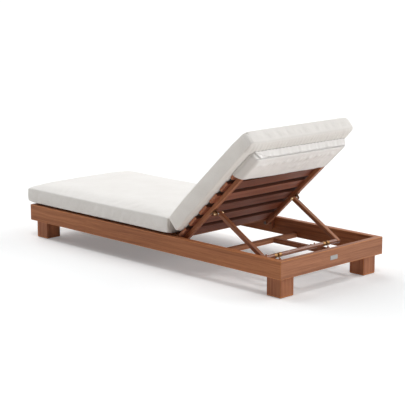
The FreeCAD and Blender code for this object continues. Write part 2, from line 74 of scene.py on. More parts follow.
class Value:
    """A number socket in one node tree, on which Python's operators add Math nodes."""

    def __init__(self, tree: "Tree", socket: Socket) -> None:
        """Keeps the socket and the tree it is in."""
        self.tree = tree
        self.socket = socket

    def _math(self, operation: str, *others: Operand) -> "Value":
        """Adds a Math node on self and the other inputs."""
        return self.tree.math(operation, self, *others)

    def __add__(self, other: Operand) -> "Value":
        """self + other."""
        return self._math("ADD", other)

    __radd__ = __add__

    def __mul__(self, other: Operand) -> "Value":
        """self * other."""
        return self._math("MULTIPLY", other)

    __rmul__ = __mul__

    def __sub__(self, other: Operand) -> "Value":
        """self - other."""
        return self._math("SUBTRACT", other)

    def __rsub__(self, other: Operand) -> "Value":
        """other - self."""
        return self.tree.math("SUBTRACT", other, self)

    def __truediv__(self, other: Operand) -> "Value":
        """self / other."""
        return self._math("DIVIDE", other)

    def __rtruediv__(self, other: Operand) -> "Value":
        """other / self."""
        return self.tree.math("DIVIDE", other, self)

    def __abs__(self) -> "Value":
        """The size of self without its sign."""
        return self._math("ABSOLUTE")

    def floor(self) -> "Value":
        """The whole number below self."""
        return self._math("FLOOR")

    def sine(self) -> "Value":
        """The sine of self."""
        return self._math("SINE")

    def ramp(self, low: float, high: float, to_low: float = 0.0, to_high: float = 1.0) -> "Value":
        """Maps low..high smoothly to to_low..to_high and holds it there.

        Args:
            low: value that gives to_low.
            high: value that gives to_high.
            to_low: lowest result.
            to_high: highest result.

        Returns:
            The mapped value.
        """
        node = self.tree.node("ShaderNodeMapRange", {"interpolation_type": "SMOOTHSTEP"}, {
            "Value": self, "From Min": low, "From Max": high, "To Min": to_low,
            "To Max": to_high})
        return Value(self.tree, node.outputs["Result"])


Input = Union[Value, Socket, float, int, Sequence[float]]


class Tree:
    """The node tree of a material or a world."""

    def __init__(self, owner: Union[Material, bpy.types.World]) -> None:
        """Empties the owner's node tree.

        Args:
            owner: the material or world.
        """
        owner.use_nodes = True
        self.nodes = owner.node_tree.nodes
        self.links = owner.node_tree.links
        self.nodes.clear()

    def node(self, kind: str, settings: Optional[dict] = None,
             inputs: Optional[dict] = None) -> bpy.types.Node:
        """Adds one node of any type.

        Args:
            kind: the node's type.
            settings: attributes that are set first; "stops" fills a colour ramp.
            inputs: socket name or index to a value or a link.

        Returns:
            The new node.
        """
        made = self.nodes.new(kind)
        for key, value in (settings or {}).items():
            if key == "stops":
                self._stops(made, value)
            else:
                setattr(made, key, value)
        for key, value in (inputs or {}).items():
            self.feed(made.inputs[key], value)
        return made

    @staticmethod
    def _stops(node: bpy.types.Node, stops: Sequence[tuple[float, Triple]]) -> None:
        """Writes a colour ramp's stops.

        Args:
            node: the ramp.
            stops: place and colour of each stop.
        """
        ramp = node.color_ramp
        while len(ramp.elements) > 1:
            ramp.elements.remove(ramp.elements[-1])
        ramp.elements[0].position = stops[0][0]
        ramp.elements[0].color = (*stops[0][1], 1.0)
        for place, colour in stops[1:]:
            ramp.elements.new(place).color = (*colour, 1.0)

    def feed(self, socket: Socket, value: Input) -> None:
        """Links a value to a socket or writes it there.

        Args:
            socket: the input.
            value: a Value, a socket, a number or a row of numbers.
        """
        if isinstance(value, Value):
            value = value.socket
        if isinstance(value, Socket):
            self.links.new(value, socket)
        else:
            socket.default_value = value

    def math(self, operation: str, *values: Operand) -> Value:
        """Adds a Math node with the given inputs and returns its result."""
        made = self.node("ShaderNodeMath", {"operation": operation}, dict(enumerate(values)))
        return Value(self, made.outputs[0])

    def dot(self, vector: Socket, axis: Triple) -> Value:
        """Measures a vector along an axis.

        Args:
            vector: the vector.
            axis: the axis, of length one.

        Returns:
            Its length along the axis.
        """
        made = self.node("ShaderNodeVectorMath", {"operation": "DOT_PRODUCT"},
                         {0: vector, 1: axis})
        return Value(self, made.outputs["Value"])

    def vector(self, x: Input, y: Input, z: Input) -> Socket:
        """Joins three numbers to a vector."""
        return self.node("ShaderNodeCombineXYZ", None, {"X": x, "Y": y, "Z": z}).outputs[0]

    def place(self) -> Socket:
        """The point of the object that is shaded, in metres."""
        return self.node("ShaderNodeTexCoord").outputs["Object"]

    def facing(self) -> Socket:
        """The surface's normal in the object's own axes."""
        return self.node("ShaderNodeTexCoord").outputs["Normal"]

    def noise(self, at: Union[Socket, tuple], scale: float, detail: float = 3.0,
              rough: float = 0.5, twist: float = 0.0) -> Value:
        """Smooth noise between 0 and 1.

        Args:
            at: where it is read, as a vector's socket or three values.
            scale: how many bumps to a unit.
            detail: how many finer layers.
            rough: how strong they are.
            twist: how much it is distorted.

        Returns:
            The noise.
        """
        vector = self.vector(*at) if isinstance(at, tuple) else at
        made = self.node("ShaderNodeTexNoise", {"noise_dimensions": "3D"}, {
            "Vector": vector, "Scale": scale, "Detail": detail, "Roughness": rough,
            "Distortion": twist})
        return Value(self, made.outputs["Fac"])

    def blend(self, share: Input, first: Input, second: Input) -> Socket:
        """Mixes two colours.

        Args:
            share: how much of the second.
            first: the first colour.
            second: the second colour.

        Returns:
            The mixed colour.
        """
        made = self.node("ShaderNodeMix", {"data_type": "RGBA"}, {
            0: share, 6: self.colour(first), 7: self.colour(second)})
        return made.outputs[2]

    def ray(self, kind: str) -> Value:
        """Whether the ray that meets the point is of a kind, as 0 or 1."""
        return Value(self, self.node("ShaderNodeLightPath").outputs[kind])

    def mix(self, share: Input, first: Input, second: Input) -> Socket:
        """Mixes two shaders by a share."""
        return self.node("ShaderNodeMixShader", None, {0: share, 1: first, 2: second}).outputs[0]

    @staticmethod
    def colour(value: Input) -> Input:
        """Adds the fourth number to a colour of three."""
        return (*value, 1.0) if isinstance(value, tuple) and len(value) == 3 else value

    def stops(self, share: Input, stops: Sequence[tuple[float, Triple]]) -> Socket:
        """A colour from a ramp."""
        return self.node("ShaderNodeValToRGB", {"stops": stops}, {"Fac": share}).outputs["Color"]

    def mark(self, name: str) -> Value:
        """A number that the mesh carries at each corner."""
        made = self.node("ShaderNodeAttribute", {"attribute_name": name})
        return Value(self, made.outputs["Fac"])


class Finish(Tree):
    """The node tree of a new material, with a Principled shader."""

    def __init__(self, name: str) -> None:
        """Makes the material with its shader and its output.

        Args:
            name: the material's name.
        """
        self.material = bpy.data.materials.new(name)
        super().__init__(self.material)
        self.output = self.node("ShaderNodeOutputMaterial")
        self.shader = self.node("ShaderNodeBsdfPrincipled")
        self.feed(self.output.inputs["Surface"], self.shader.outputs["BSDF"])

    def bump(self, *layers: tuple[Value, float, float]) -> None:
        """Feeds heights to the shader's normal, one over the other.

        Args:
            layers: the height, strength and distance of each.
        """
        below: Optional[Socket] = None
        for height, strength, distance in layers:
            inputs = {"Strength": strength, "Distance": distance, "Height": height}
            if below is not None:
                inputs["Normal"] = below
            below = self.node("ShaderNodeBump", None, inputs).outputs["Normal"]
        self.feed(self.shader.inputs["Normal"], below)

    def surface(self, **inputs: Input) -> None:
        """Sets the Principled shader's inputs; underscores stand for spaces."""
        for key, value in inputs.items():
            self.feed(self.shader.inputs[key.replace("_", " ")], self.colour(value))


def srgb(red: int, green: int, blue: int) -> Triple:
    """Turns a colour of 0 to 255 as seen on a screen to the renderer's numbers.

    Args:
        red: red.
        green: green.
        blue: blue.

    Returns:
        The linear colour.
    """
    def one(value: int) -> float:
        """One channel."""
        share = value / 255
        return share / 12.92 if share <= 0.04045 else ((share + 0.055) / 1.055) ** 2.4
    return one(red), one(green), one(blue)


# --------------------------------------------------------------------------- finishes


@dataclass(frozen=True)
class OiledHardwood:
    """Red-brown tropical hardwood, planed and oiled, with straight fibres and fine pores."""

    name: str
    grain: Grain
    pale: Triple = srgb(194, 130, 92)
    middle: Triple = srgb(160, 101, 69)
    deep: Triple = srgb(116, 65, 43)
    end_pale: Triple = srgb(152, 96, 66)
    end_deep: Triple = srgb(110, 61, 41)
    board_pitch: float = 0.0
    board_axis: Triple = RUN
    seed: float = 0.0
    gloss: float = 0.42
    sheen: float = 0.28
    # Planes whose arrises get a painted highlight, and the colour of that highlight below
    edges: tuple[tuple[Triple, float], ...] = ()
    edge_highlight: Triple = srgb(208, 136, 80)
    # A colour for painted shade on the faces that look into the gaps between boards
    gap_face_shade: Optional[Triple] = None

    def make(self) -> Material:
        """Builds the material.

        Returns:
            The material.
        """
        tree = Finish(self.name)
        axis = Vector(self.grain.value)
        side = Vector(OVER) if abs(axis.x) < 0.9 else Vector(RUN)
        third = axis.cross(side)
        spot = tree.place()
        run = tree.dot(spot, tuple(axis)) + self.seed
        over = tree.dot(spot, tuple(side)) + self.seed * 1.7
        deep = tree.dot(spot, tuple(third)) + self.seed * 0.6
        board = self._board(tree, spot)
        run = run + board * 3.1
        wander = tree.noise((run * 1.0, over * 2.0, deep * 2.0), 2.2, 2.0) - 0.5
        over_bent = over + wander * 0.022
        deep_bent = deep + wander * 0.018
        figure = tree.noise((run * 0.55, over_bent * 17.0, deep_bent * 17.0), 1.5, 4.0, 0.55, 0.35)
        bands = tree.noise((run * 1.3, over_bent * 75.0, deep_bent * 75.0), 1.5, 3.0, 0.6)
        fibres = tree.noise((run * 9.0, over_bent * 420.0, deep_bent * 420.0), 1.0, 2.0, 0.6)
        pores = tree.noise((run * 24.0, over * 900.0, deep * 900.0), 1.0, 1.0, 0.5)
        cut = abs(tree.dot(tree.facing(), tuple(axis))).ramp(0.72, 0.95)
        tone = figure * 0.46 + bands * 0.36 + fibres * 0.18 + board * 0.16 - 0.08
        colour = tree.stops(tone, [(0.30, self.deep), (0.47, self.middle), (0.66, self.pale)])
        specks = pores.ramp(0.60, 0.72)
        colour = tree.blend(specks * 0.38, colour, self.deep)
        rings = tree.noise((run * 8.0, over * 150.0, deep * 60.0), 1.6, 3.0)
        end_colour = tree.stops(rings, [(0.35, self.end_deep), (0.65, self.end_pale)])
        colour = tree.blend(cut, colour, end_colour)
        # Painted shade: faces that look along the board axis, into the gaps, are darkened
        if self.gap_face_shade:
            gap_shade = abs(tree.dot(tree.facing(), self.board_axis)).ramp(0.55, 0.9)
            colour = tree.blend(gap_shade * 0.85, colour, self.gap_face_shade)
        # Painted highlight: a pale line along the arrises, where light would catch the rounded
        # edges
        if self.edges:
            colour = tree.blend(self._painted_edge_highlight(tree, spot) * 0.75, colour, self.edge_highlight)
        tree.surface(Base_Color=colour, Roughness=fibres * 0.16 + specks * 0.12 + self.gloss,
                     IOR=1.46, Specular_IOR_Level=self.sheen)
        height = fibres * 0.5 - specks * 0.8 + bands * 0.5
        tree.bump((height, 0.35, 0.0005))
        return tree.material

    def _board(self, tree: Tree, spot: Socket) -> Operand:
        """A number that differs from board to board.

        Args:
            tree: the node tree.
            spot: the shaded point.

        Returns:
            A value between 0 and 1, or a half where there is one board.
        """
        if not self.board_pitch:
            return 0.5
        number = ((tree.dot(spot, self.board_axis) + 10.0) / self.board_pitch).floor()
        made = tree.node("ShaderNodeTexWhiteNoise", {"noise_dimensions": "1D"}, {"W": number})
        return Value(tree, made.outputs["Value"])

    def _painted_edge_highlight(self, tree: Tree, spot: Socket) -> Value:
        """Where a highlight is painted along the arrises: near the planes in edges, on the faces
        beside them.

        Args:
            tree: the node tree.
            spot: the shaded point.

        Returns:
            A value between 0 and 1.
        """
        facing = tree.facing()
        total: Operand = 0.0
        for axis, place in self.edges:
            off = abs(tree.dot(spot, axis) - place)
            beside = 1.0 - abs(tree.dot(facing, axis)).ramp(0.5, 0.8)
            total = total + (1.0 - off.ramp(0.0012, 0.0045)) * beside
        return total.ramp(0.0, 1.0)


@dataclass(frozen=True)
class DulledBrass:
    """Plain brass that has lost its first shine."""

    name: str = "dulled_brass"
    colour: Triple = srgb(152, 114, 74)
    stain: Triple = srgb(104, 76, 48)
    dullness: float = 0.32

    def make(self) -> Material:
        """Builds the material.

        Returns:
            The material.
        """
        tree = Finish(self.name)
        spot = tree.place()
        cloud = tree.noise(spot, 90.0, 4.0, 0.6)
        fine = tree.noise(spot, 900.0, 2.0, 0.6)
        colour = tree.blend(cloud.ramp(0.45, 0.75) * 0.55, self.colour, self.stain)
        tree.surface(Base_Color=colour, Metallic=1.0,
                     Roughness=cloud * 0.22 + fine * 0.08 + self.dullness)
        tree.bump((fine + cloud, 0.12, 0.0002))
        return tree.material


@dataclass(frozen=True)
class SatinSteel:
    """Stainless sheet and turned steel with a fine brushed finish."""

    name: str = "satin_steel"
    colour: Triple = srgb(164, 162, 160)

    def make(self) -> Material:
        """Builds the material.

        Returns:
            The material.
        """
        tree = Finish(self.name)
        spot = tree.place()
        over, run, up = (tree.dot(spot, axis) for axis in (OVER, RUN, UP))
        lines = tree.noise((over * 30.0, run * 900.0, up * 900.0), 1.0, 2.0, 0.6)
        cloud = tree.noise(spot, 60.0, 3.0)
        colour = tree.blend(cloud.ramp(0.4, 0.8) * 0.25, self.colour, srgb(160, 150, 148))
        tree.surface(Base_Color=colour, Metallic=1.0, Roughness=lines * 0.14 + cloud * 0.1 + 0.24)
        tree.bump((lines, 0.1, 0.0002))
        return tree.material


@dataclass(frozen=True)
class GlidePlastic:
    """Black moulded plastic with a fine pebbled face."""

    name: str = "glide_plastic"

    def make(self) -> Material:
        """Builds the material.

        Returns:
            The material.
        """
        tree = Finish(self.name)
        pebble = tree.noise(tree.place(), 1400.0, 2.0)
        colour = tree.stops(pebble, [(0.3, srgb(28, 28, 28)), (0.7, srgb(46, 45, 44))])
        tree.surface(Base_Color=colour, Roughness=pebble * 0.2 + 0.5)
        tree.bump((pebble, 0.3, 0.0003))
        return tree.material


@dataclass(frozen=True)
class Canvas:
    """Off-white outdoor canvas: plain weave with slubs, puckered, darker along its seams, with
    painted shade in its creases and a dark painted-shade underside.
    """

    name: str
    bright: Triple = srgb(244, 242, 239)
    shade: Triple = srgb(234, 231, 227)
    # The colour of the seam lines and also of the painted shade in creases, tucks, gathers and on
    # the hood's sides
    crease: Triple = srgb(168, 160, 152)
    # A dark colour that paints the shade beneath the cushions and along the hood's flap
    underside_shade: Triple = srgb(70, 63, 58)
    thread: float = 0.0016
    tilt: float = 0.0

    def make(self) -> Material:
        """Builds the material.

        Returns:
            The material.
        """
        tree = Finish(self.name)
        spot = tree.place()
        lengthwise = sloping(self.tilt)
        axes = OVER, lengthwise, (0.0, -lengthwise[2], lengthwise[1])
        over, run, up = (tree.dot(spot, axis) for axis in axes)
        facing = tree.facing()
        sideways, endways = (abs(tree.dot(facing, axis)).ramp(0.55, 0.8) for axis in axes[:2])
        warp_at = over * (1.0 - sideways) + up * sideways
        weft_at = run * (1.0 - endways) + up * endways
        warp_slub = tree.noise((over * 260.0, run * 9.0, up * 9.0), 1.0, 3.0, 0.6)
        weft_slub = tree.noise((over * 9.0, run * 260.0, up * 260.0), 1.0, 3.0, 0.6)
        cloud = tree.noise(spot, 7.0, 4.0, 0.55)
        turns = 2 * math.pi / self.thread
        warp = (warp_at * turns + warp_slub * 2.0).sine() * 0.5 + 0.5
        weft = (weft_at * turns + weft_slub * 2.0).sine() * 0.5 + 0.5
        weave = warp * weft
        tone = cloud * 0.35 + warp_slub * 0.25 + weft_slub * 0.25 + weave * 0.15
        colour = tree.stops(tone, [(0.32, self.shade), (0.62, self.bright)])
        # The seam mark draws dark seam lines and also paints shade in creases and on the hood's
        # side walls
        colour = tree.blend(tree.mark("seam") * 0.55, colour, self.crease)
        # The base mark paints shade: where it is set, the dark underside colour stands in for
        # shade
        colour = tree.blend(tree.mark("base"), colour, self.underside_shade)
        tree.surface(Base_Color=colour, Roughness=weave * 0.1 + 0.82,
                     Sheen_Weight=0.1, Sheen_Roughness=0.5, Specular_IOR_Level=0.2)
        along = tree.noise((over * 5.0, run * 62.0, up * 5.0), 1.0, 3.0, 0.6)
        across = tree.noise((over * 62.0, run * 5.0, up * 5.0), 1.0, 3.0, 0.6)
        gathers = along * tree.mark("pucker_along") + across * tree.mark("pucker_across")
        tree.bump((gathers, 0.9, 0.006),
                  (weave * 0.6 + warp_slub * 0.5 + weft_slub * 0.5, 0.3, 0.0006))
        return tree.material


# --------------------------------------------------------------------------- meshes


def new_piece(name: str, points: Array, faces: Iterable[Sequence[int]],
              smooth: bool = True) -> Piece:
    """Makes a mesh object and links it to the scene.

    Args:
        name: the piece's name.
        points: its corners, in metres.
        faces: its faces, as corner numbers.
        smooth: whether it is shaded smooth.

    Returns:
        The object.
    """
    mesh = bpy.data.meshes.new(name)
    mesh.from_pydata([tuple(p) for p in np.asarray(points, dtype=float)], [],
                     [tuple(f) for f in faces])
    mesh.validate()
    mesh.update()
    if smooth:
        mesh.polygons.foreach_set("use_smooth", [True] * len(mesh.polygons))
    made = bpy.data.objects.new(name, mesh)
    bpy.context.scene.collection.objects.link(made)
    return made


def read_points(obj: Piece, what: str = "co") -> Array:
    """Reads three numbers for each corner of the mesh.

    Args:
        obj: the object.
        what: "co" for their places, "normal" for their normals.

    Returns:
        An array of three columns.
    """
    points = np.empty(len(obj.data.vertices) * 3)
    obj.data.vertices.foreach_get(what, points)
    return points.reshape(-1, 3)


def add_mark(obj: Piece, name: str, values: Array) -> None:
    """Writes a number for each corner of the mesh, which its finish reads."""
    mark = obj.data.attributes.new(name, "FLOAT", "POINT")
    mark.data.foreach_set("value", np.asarray(values, dtype=np.float32))


def write_points(obj: Piece, points: Array) -> None:
    """Moves the mesh's corners."""
    obj.data.vertices.foreach_set("co", np.asarray(points, dtype=float).ravel())
    obj.data.update()


def apply_modifiers(obj: Piece) -> None:
    """Replaces the mesh by what its modifiers make of it.

    Args:
        obj: the object.
    """
    graph = bpy.context.evaluated_depsgraph_get()
    made = bpy.data.meshes.new_from_object(obj.evaluated_get(graph), preserve_all_data_layers=True,
                                           depsgraph=graph)
    obj.modifiers.clear()
    obj.data = made


def subdivide(obj: Piece) -> None:
    """Smooths the mesh by one step of subdivision, keeps the result and shades it smooth.

    Args:
        obj: the object.
    """
    step = obj.modifiers.new("smooth", "SUBSURF")
    step.levels = step.render_levels = 1
    apply_modifiers(obj)
    obj.data.polygons.foreach_set("use_smooth", [True] * len(obj.data.polygons))


def soften_where(obj: Piece, weights: Array, least: float, rounds: int) -> None:
    """Evens the mesh out where the weights are high.

    Args:
        obj: the object.
        weights: how much each corner gives way, from 0 to 1.
        least: the weight below which a corner stays.
        rounds: how often it is done.
    """
    group = obj.vertex_groups.new(name="soft")
    for number in np.flatnonzero(weights > least):
        group.add([int(number)], float(weights[number]), "REPLACE")
    smooth = obj.modifiers.new("soft", "SMOOTH")
    smooth.factor, smooth.iterations, smooth.vertex_group = 0.5, rounds, group.name
    apply_modifiers(obj)


def put_finish(obj: Piece, finish: Material) -> None:
    """Sets the material of all of an object's slots.

    Args:
        obj: the object.
        finish: the material.
    """
    if not obj.material_slots:
        obj.data.materials.append(finish)
    for place in obj.material_slots:
        place.material = finish


def hand_over(piece: Piece, finish: Material, body: str) -> None:
    """Gives a piece its finish, its body and its slot, and reports it.

    Args:
        piece: the piece.
        finish: its material.
        body: the body that it rides on.
    """
    put_finish(piece, finish)
    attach(piece, body)
    LOG.info("%s: %d corners", piece.name, len(piece.data.vertices))


def bell(distance: Array, width: float) -> Array:
    """1 at no distance, falling smoothly to nothing over a few widths."""
    return np.exp(-(distance / width) ** 2)


def unit(values: Array) -> Array:
    """Holds values between 0 and 1."""
    return np.clip(values, 0, 1)


def spread(length: float, step: float, starts: Sequence[float]) -> Array:
    """Places along a length that lie close together near both ends.

    Args:
        length: the whole length.
        step: the widest spacing.
        starts: the places near each end, from the end.

    Returns:
        The places from 0 to length.
    """
    head = np.array(starts)
    middle_length = length - 2 * head[-1]
    count = max(2, int(round(middle_length / step)))
    middle = np.linspace(head[-1], length - head[-1], count + 1)
    return np.concatenate([head[:-1], middle, (length - head[:-1])[::-1]])


def curve_through(places: Array, values: Array, at: Array) -> Array:
    """A smooth curve through values that doesn't overshoot them.

    Args:
        places: where the values are, rising.
        values: the values.
        at: where the curve is read.

    Returns:
        The curve's values.
    """
    gaps = np.diff(places)
    slopes = np.diff(values) / gaps
    tangents = np.zeros(len(places))
    for k in range(1, len(places) - 1):
        if slopes[k - 1] * slopes[k] > 0:
            first = 2 * gaps[k] + gaps[k - 1]
            second = gaps[k] + 2 * gaps[k - 1]
            tangents[k] = (first + second) / (first / slopes[k - 1] + second / slopes[k])
    tangents[0], tangents[-1] = slopes[0], slopes[-1]
    k = np.clip(np.searchsorted(places, at, side="right") - 1, 0, len(gaps) - 1)
    share = (at - places[k]) / gaps[k]
    return (values[k] * (1 + 2 * share) * (1 - share) ** 2
            + gaps[k] * tangents[k] * share * (1 - share) ** 2
            + values[k + 1] * share ** 2 * (3 - 2 * share)
            + gaps[k] * tangents[k + 1] * share ** 2 * (share - 1))


class BoxGrid:
    """The outside of a block of cells, as one sheet of four-sided faces."""

    def __init__(self, across: int, along: int, high: int, tray: bool = False) -> None:
        """Numbers the corners on the block's outside.

        Args:
            across: corners across.
            along: corners along.
            high: corners up.
            tray: whether it is open above and at its start.
        """
        self.size = (across, along, high)
        self.number: dict[tuple[int, ...], int] = {}
        for i, j, k in np.ndindex(*self.size):
            lid = not tray and (j == 0 or k == high - 1)
            if lid or k == 0 or i in (0, across - 1) or j == along - 1:
                self.number[i, j, k] = len(self.number)
        self.cells = np.array(list(self.number))

    def faces(self) -> list[tuple[int, ...]]:
        """Joins the corners.

        Returns:
            The faces, turned outwards.
        """
        made = []
        for axis in (2, 0, 1):
            rows, columns = (size - 1 for other, size in enumerate(self.size) if other != axis)
            for u, v in np.ndindex(rows, columns):
                for at in (0, self.size[axis] - 1):
                    ring = [(u, v), (u, v + 1), (u + 1, v + 1), (u + 1, v)]
                    if (at > 0) != (axis == 1):
                        ring = ring[:1] + ring[:0:-1]
                    cells = [(*spot[:axis], at, *spot[axis:]) for spot in ring]
                    if all(cell in self.number for cell in cells):
                        made.append(tuple(self.number[cell] for cell in cells))
        return made


@dataclass
class Hinge:
    """Where the back turns, and how far it is up in the photograph."""

    y: float = 0.25425
    z: float = 0.168
    angle: float = BACK_ANGLE

    def lift(self, points: Array) -> Array:
        """Moves points from the back's own frame, flat with its pivot at zero, to their place.

        Args:
            points: rows of x, along and above.

        Returns:
            Rows of x, y and z.
        """
        turn = math.radians(self.angle)
        cos, sin = math.cos(turn), math.sin(turn)
        made = np.array(points, dtype=float)
        along, above = made[:, 1].copy(), made[:, 2].copy()
        made[:, 1] = self.y + along * cos - above * sin
        made[:, 2] = self.z + along * sin + above * cos
        return made


# --------------------------------------------------------------------------- soft pieces


HAIR, TINY = 0.0001, 1e-9
CLOTH = {
    "quality": 6, "mass": 0.25, "tension_stiffness": 25, "compression_stiffness": 25,
    "shear_stiffness": 8, "bending_stiffness": 0.6, "use_pressure": True, "pin_stiffness": 4.0,
}


@dataclass
class BoxedCushion:
    """A foam cushion in a boxed cover: two panels and a border, joined by seams."""

    name: str
    node: str
    body: str
    start: float
    length: float
    floor: float
    thickness: float
    stations: Sequence[tuple[float, ...]]
    width: float = 0.8
    border: float = 0.68
    flat: float = 0.690
    shoulder: float = 0.058
    swell: float = 0.0025
    end_swell: float = 0.003
    corners: tuple[float, float] = (0.012, 0.012)
    pinched: bool = False
    base_from: float = 0.03
    base_to: float = 0.03
    raised: bool = False
    slack: float = 0.012
    pressure: float = 4.0
    cap: float = 0.012
    seed: int = 3
    hinge: Hinge = field(default_factory=Hinge)
    near_edge: tuple[float, ...] = (0.0, 0.002, 0.005, 0.009, 0.0145, 0.0215, 0.030, 0.040)
    step: float = 0.0115
    held: float = 0.004
    held_below: float = 0.96
    shiver: float = 0.0004
    frames: int = 20
    groove: float = 0.0016
    roll_at: float = 0.0055
    roll: float = 0.003

    def _profile(self, along: Array) -> list[Array]:
        """Reads the stations between their places.

        Args:
            along: places along the cushion.

        Returns:
            Half the width, and the heights of base, low seam, high seam, shoulder and crown.
        """
        table = np.array(self.stations)
        rows = [curve_through(table[:, 0] * self.length, table[:, c], along)
                for c in range(1, 7)]
        half = rows[0] * self.width / 2
        return [half] + [row * self.thickness for row in rows[1:]]

    def _shape(self) -> tuple[BoxGrid, Array, "SeamMap"]:
        """Lays the cushion out.

        Returns:
            The grid, its points in the cushion's flat frame, and where the seams are.
        """
        half_width = self.width / 2
        across = spread(self.width, self.step, self.near_edge) - half_width
        along = spread(self.length, self.step, self.near_edge)
        side_height = self.thickness * self.border
        levels = spread(side_height, self.step * 0.8, self.near_edge[:4]) / side_height
        grid = BoxGrid(len(across), len(along), len(levels))
        half, bottom, low, high, shoulder, crown = self._profile(along)
        i, j, k = grid.cells.T
        a = across[i] / half_width
        y = along[j]
        h = levels[k]
        x = a * half[j]
        size = np.abs(x)
        flat = self.flat / 2 * half[j] / half_width
        q = unit((size - flat) / (half[j] - flat))
        z_low = bottom[j] + (low[j] - bottom[j]) * q ** 1.74
        ledge = half[j] - self.shoulder
        s = unit((size - ledge) / self.shoulder)
        crowned = crown[j] - (crown[j] - shoulder[j]) * unit(size / ledge) ** 2
        rounded = high[j] + (shoulder[j] - high[j]) * (1 - s ** 2.3) ** 0.8
        z_high = np.where(size <= ledge, crowned, rounded)
        z = z_low + (z_high - z_low) * h
        belly = 1 - (2 * h - 1) ** 2
        on_side = np.abs(a) > 1 - HAIR
        on_end = (j == 0) | (j == len(along) - 1)
        x = x + np.where(on_side, np.sign(a) * self.swell * belly, 0.0)
        direction = np.where(j == 0, -1.0, 1.0)
        y = y + np.where(on_end, direction * self.end_swell * belly * (1 - np.abs(a) ** 6), 0.0)
        x, y = self._round_plan(x, y, half[j])
        seams = SeamMap.of(across[i], along[j], h, self)
        return grid, np.stack([x, y + self.start, z + self.floor], axis=1), seams

    def _round_plan(self, x: Array, y: Array,
                    half: Array) -> tuple[Array, Array]:
        """Rounds the four corners as seen from above.

        Args:
            x: places across.
            y: places along, from 0.
            half: half the width at each place.

        Returns:
            The rounded places.
        """
        radius = np.where(y < self.length / 2, *self.corners)
        in_x = np.clip(np.abs(x) - (half - radius), 0, None)
        near, far = radius - y, y - (self.length - radius)
        in_y = np.clip(np.maximum(near, far), 0, None)
        reach = np.maximum(in_x, in_y)
        spot = np.hypot(in_x, in_y)
        pull = np.where(spot > TINY, reach / np.maximum(spot, TINY), 1.0)
        both = (in_x > 0) & (in_y > 0)
        new_x = np.where(both, np.sign(x) * (half - radius + in_x * pull), x)
        new_y = np.where(both & (near > 0), radius - in_y * pull, y)
        new_y = np.where(both & (far > 0), self.length - radius + in_y * pull, new_y)
        return new_x, new_y

    def build(self, finish: Material) -> None:
        """Makes the cushion, blows it up and dresses it.

        Args:
            finish: the canvas.
        """
        grid, points, seams = self._shape()
        if self.raised:
            points = self.hinge.lift(points)
        piece = new_piece(self.name, points, grid.faces())
        self._inflate(piece, grid, seams.nearest())
        self._soften(piece, seams)
        self._draw_seams(piece, seams)
        subdivide(piece)
        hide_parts(self.node)
        hand_over(piece, finish, self.body)

    def _inflate(self, piece: Piece, grid: BoxGrid, gap: Array) -> None:
        """Runs a short cloth simulation with air inside, held at the seams and underneath.

        Args:
            piece: the cushion.
            grid: its grid.
            gap: each point's distance from a seam.
        """
        before = read_points(piece)
        weights = unit(1.0 - gap / self.held)
        weights = np.where(grid.cells[:, 2] == 0, np.maximum(weights, self.held_below), weights)
        pins = piece.vertex_groups.new(name="held")
        for number, weight in enumerate(weights):
            if weight > 0:
                pins.add([number], float(weight), "REPLACE")
        rng = np.random.default_rng(self.seed)
        shiver = rng.normal(0.0, self.shiver, before.shape) * (gap > self.held)[:, None]
        write_points(piece, before + shiver)
        cloth = piece.modifiers.new("air", "CLOTH")
        for key, value in CLOTH.items():
            setattr(cloth.settings, key, value)
        cloth.settings.uniform_pressure_force = self.pressure
        cloth.settings.shrink_min = -self.slack
        cloth.settings.vertex_group_mass = pins.name
        cloth.settings.effector_weights.gravity = 0.0
        cloth.collision_settings.use_collision = False
        cloth.point_cache.frame_start, cloth.point_cache.frame_end = 1, self.frames
        for number in range(1, self.frames + 1):
            bpy.context.scene.frame_set(number)
        apply_modifiers(piece)
        bpy.context.scene.frame_set(1)
        move = read_points(piece) - before
        size = np.linalg.norm(move, axis=1)
        LOG.info("%s: cloth moved %.1f mm at most", self.name, size.max() * 1000)
        limit = self.cap * np.tanh(size / self.cap)
        write_points(piece, before + move * (limit / np.maximum(size, TINY))[:, None])

    def _soften(self, piece: Piece, seams: "SeamMap") -> None:
        """Rounds the edges on top and, on a raised cushion, the lower ones too.

        Args:
            piece: the cushion.
            seams: where the seams are.
        """
        low = bell(seams.low, 0.014) * (1.0 if self.raised else 0.3)
        weights = unit(low + 0.9 * bell(seams.top, 0.024))
        weights *= 1 - bell(seams.tuck, 0.035)
        weights *= 1 - 0.85 * bell(seams.edge, 0.028)
        soften_where(piece, weights, least=0.02, rounds=20)

    def _draw_seams(self, piece: Piece, seams: "SeamMap") -> None:
        """Pulls the seams in, leaves a narrow roll beside them, and marks them for the finish,
        along with painted shade at the tucks, gathers and gusset and the base that paints shade
        underneath.

        Args:
            piece: the cushion.
            seams: where the seams are.
        """
        points, normals = read_points(piece), read_points(piece, "normal")
        shift = np.zeros(len(points))
        low_depth = 0.0005 if self.raised else -0.0012
        for gap, depth in ((seams.top, 0.0003), (seams.low, low_depth), (seams.corner, 0.0022)):
            shift -= depth * bell(gap, self.groove)
            shift += depth * 0.8 * bell(gap - self.roll_at, self.roll)
        x, run = points[:, 0], points[:, 1] + points[:, 2]
        pucker = np.exp(-seams.nearest() / 0.016)
        waves = np.where(seams.endwards > 0.5, np.sin(x * 193) + 0.7 * np.sin(x * 117 + 2),
                         np.sin(run * 121) + 0.7 * np.sin(run * 71 + 2))
        shift += 0.0004 * pucker * waves
        shift += 0.0016 * seams.gather * (np.sin(x * 247 + 1) + 0.7 * np.sin(x * 151))
        shift -= 0.0035 * bell(seams.tuck, 0.007)
        write_points(piece, points + normals * shift[:, None])
        faint = 0.2 if self.raised else 0.0
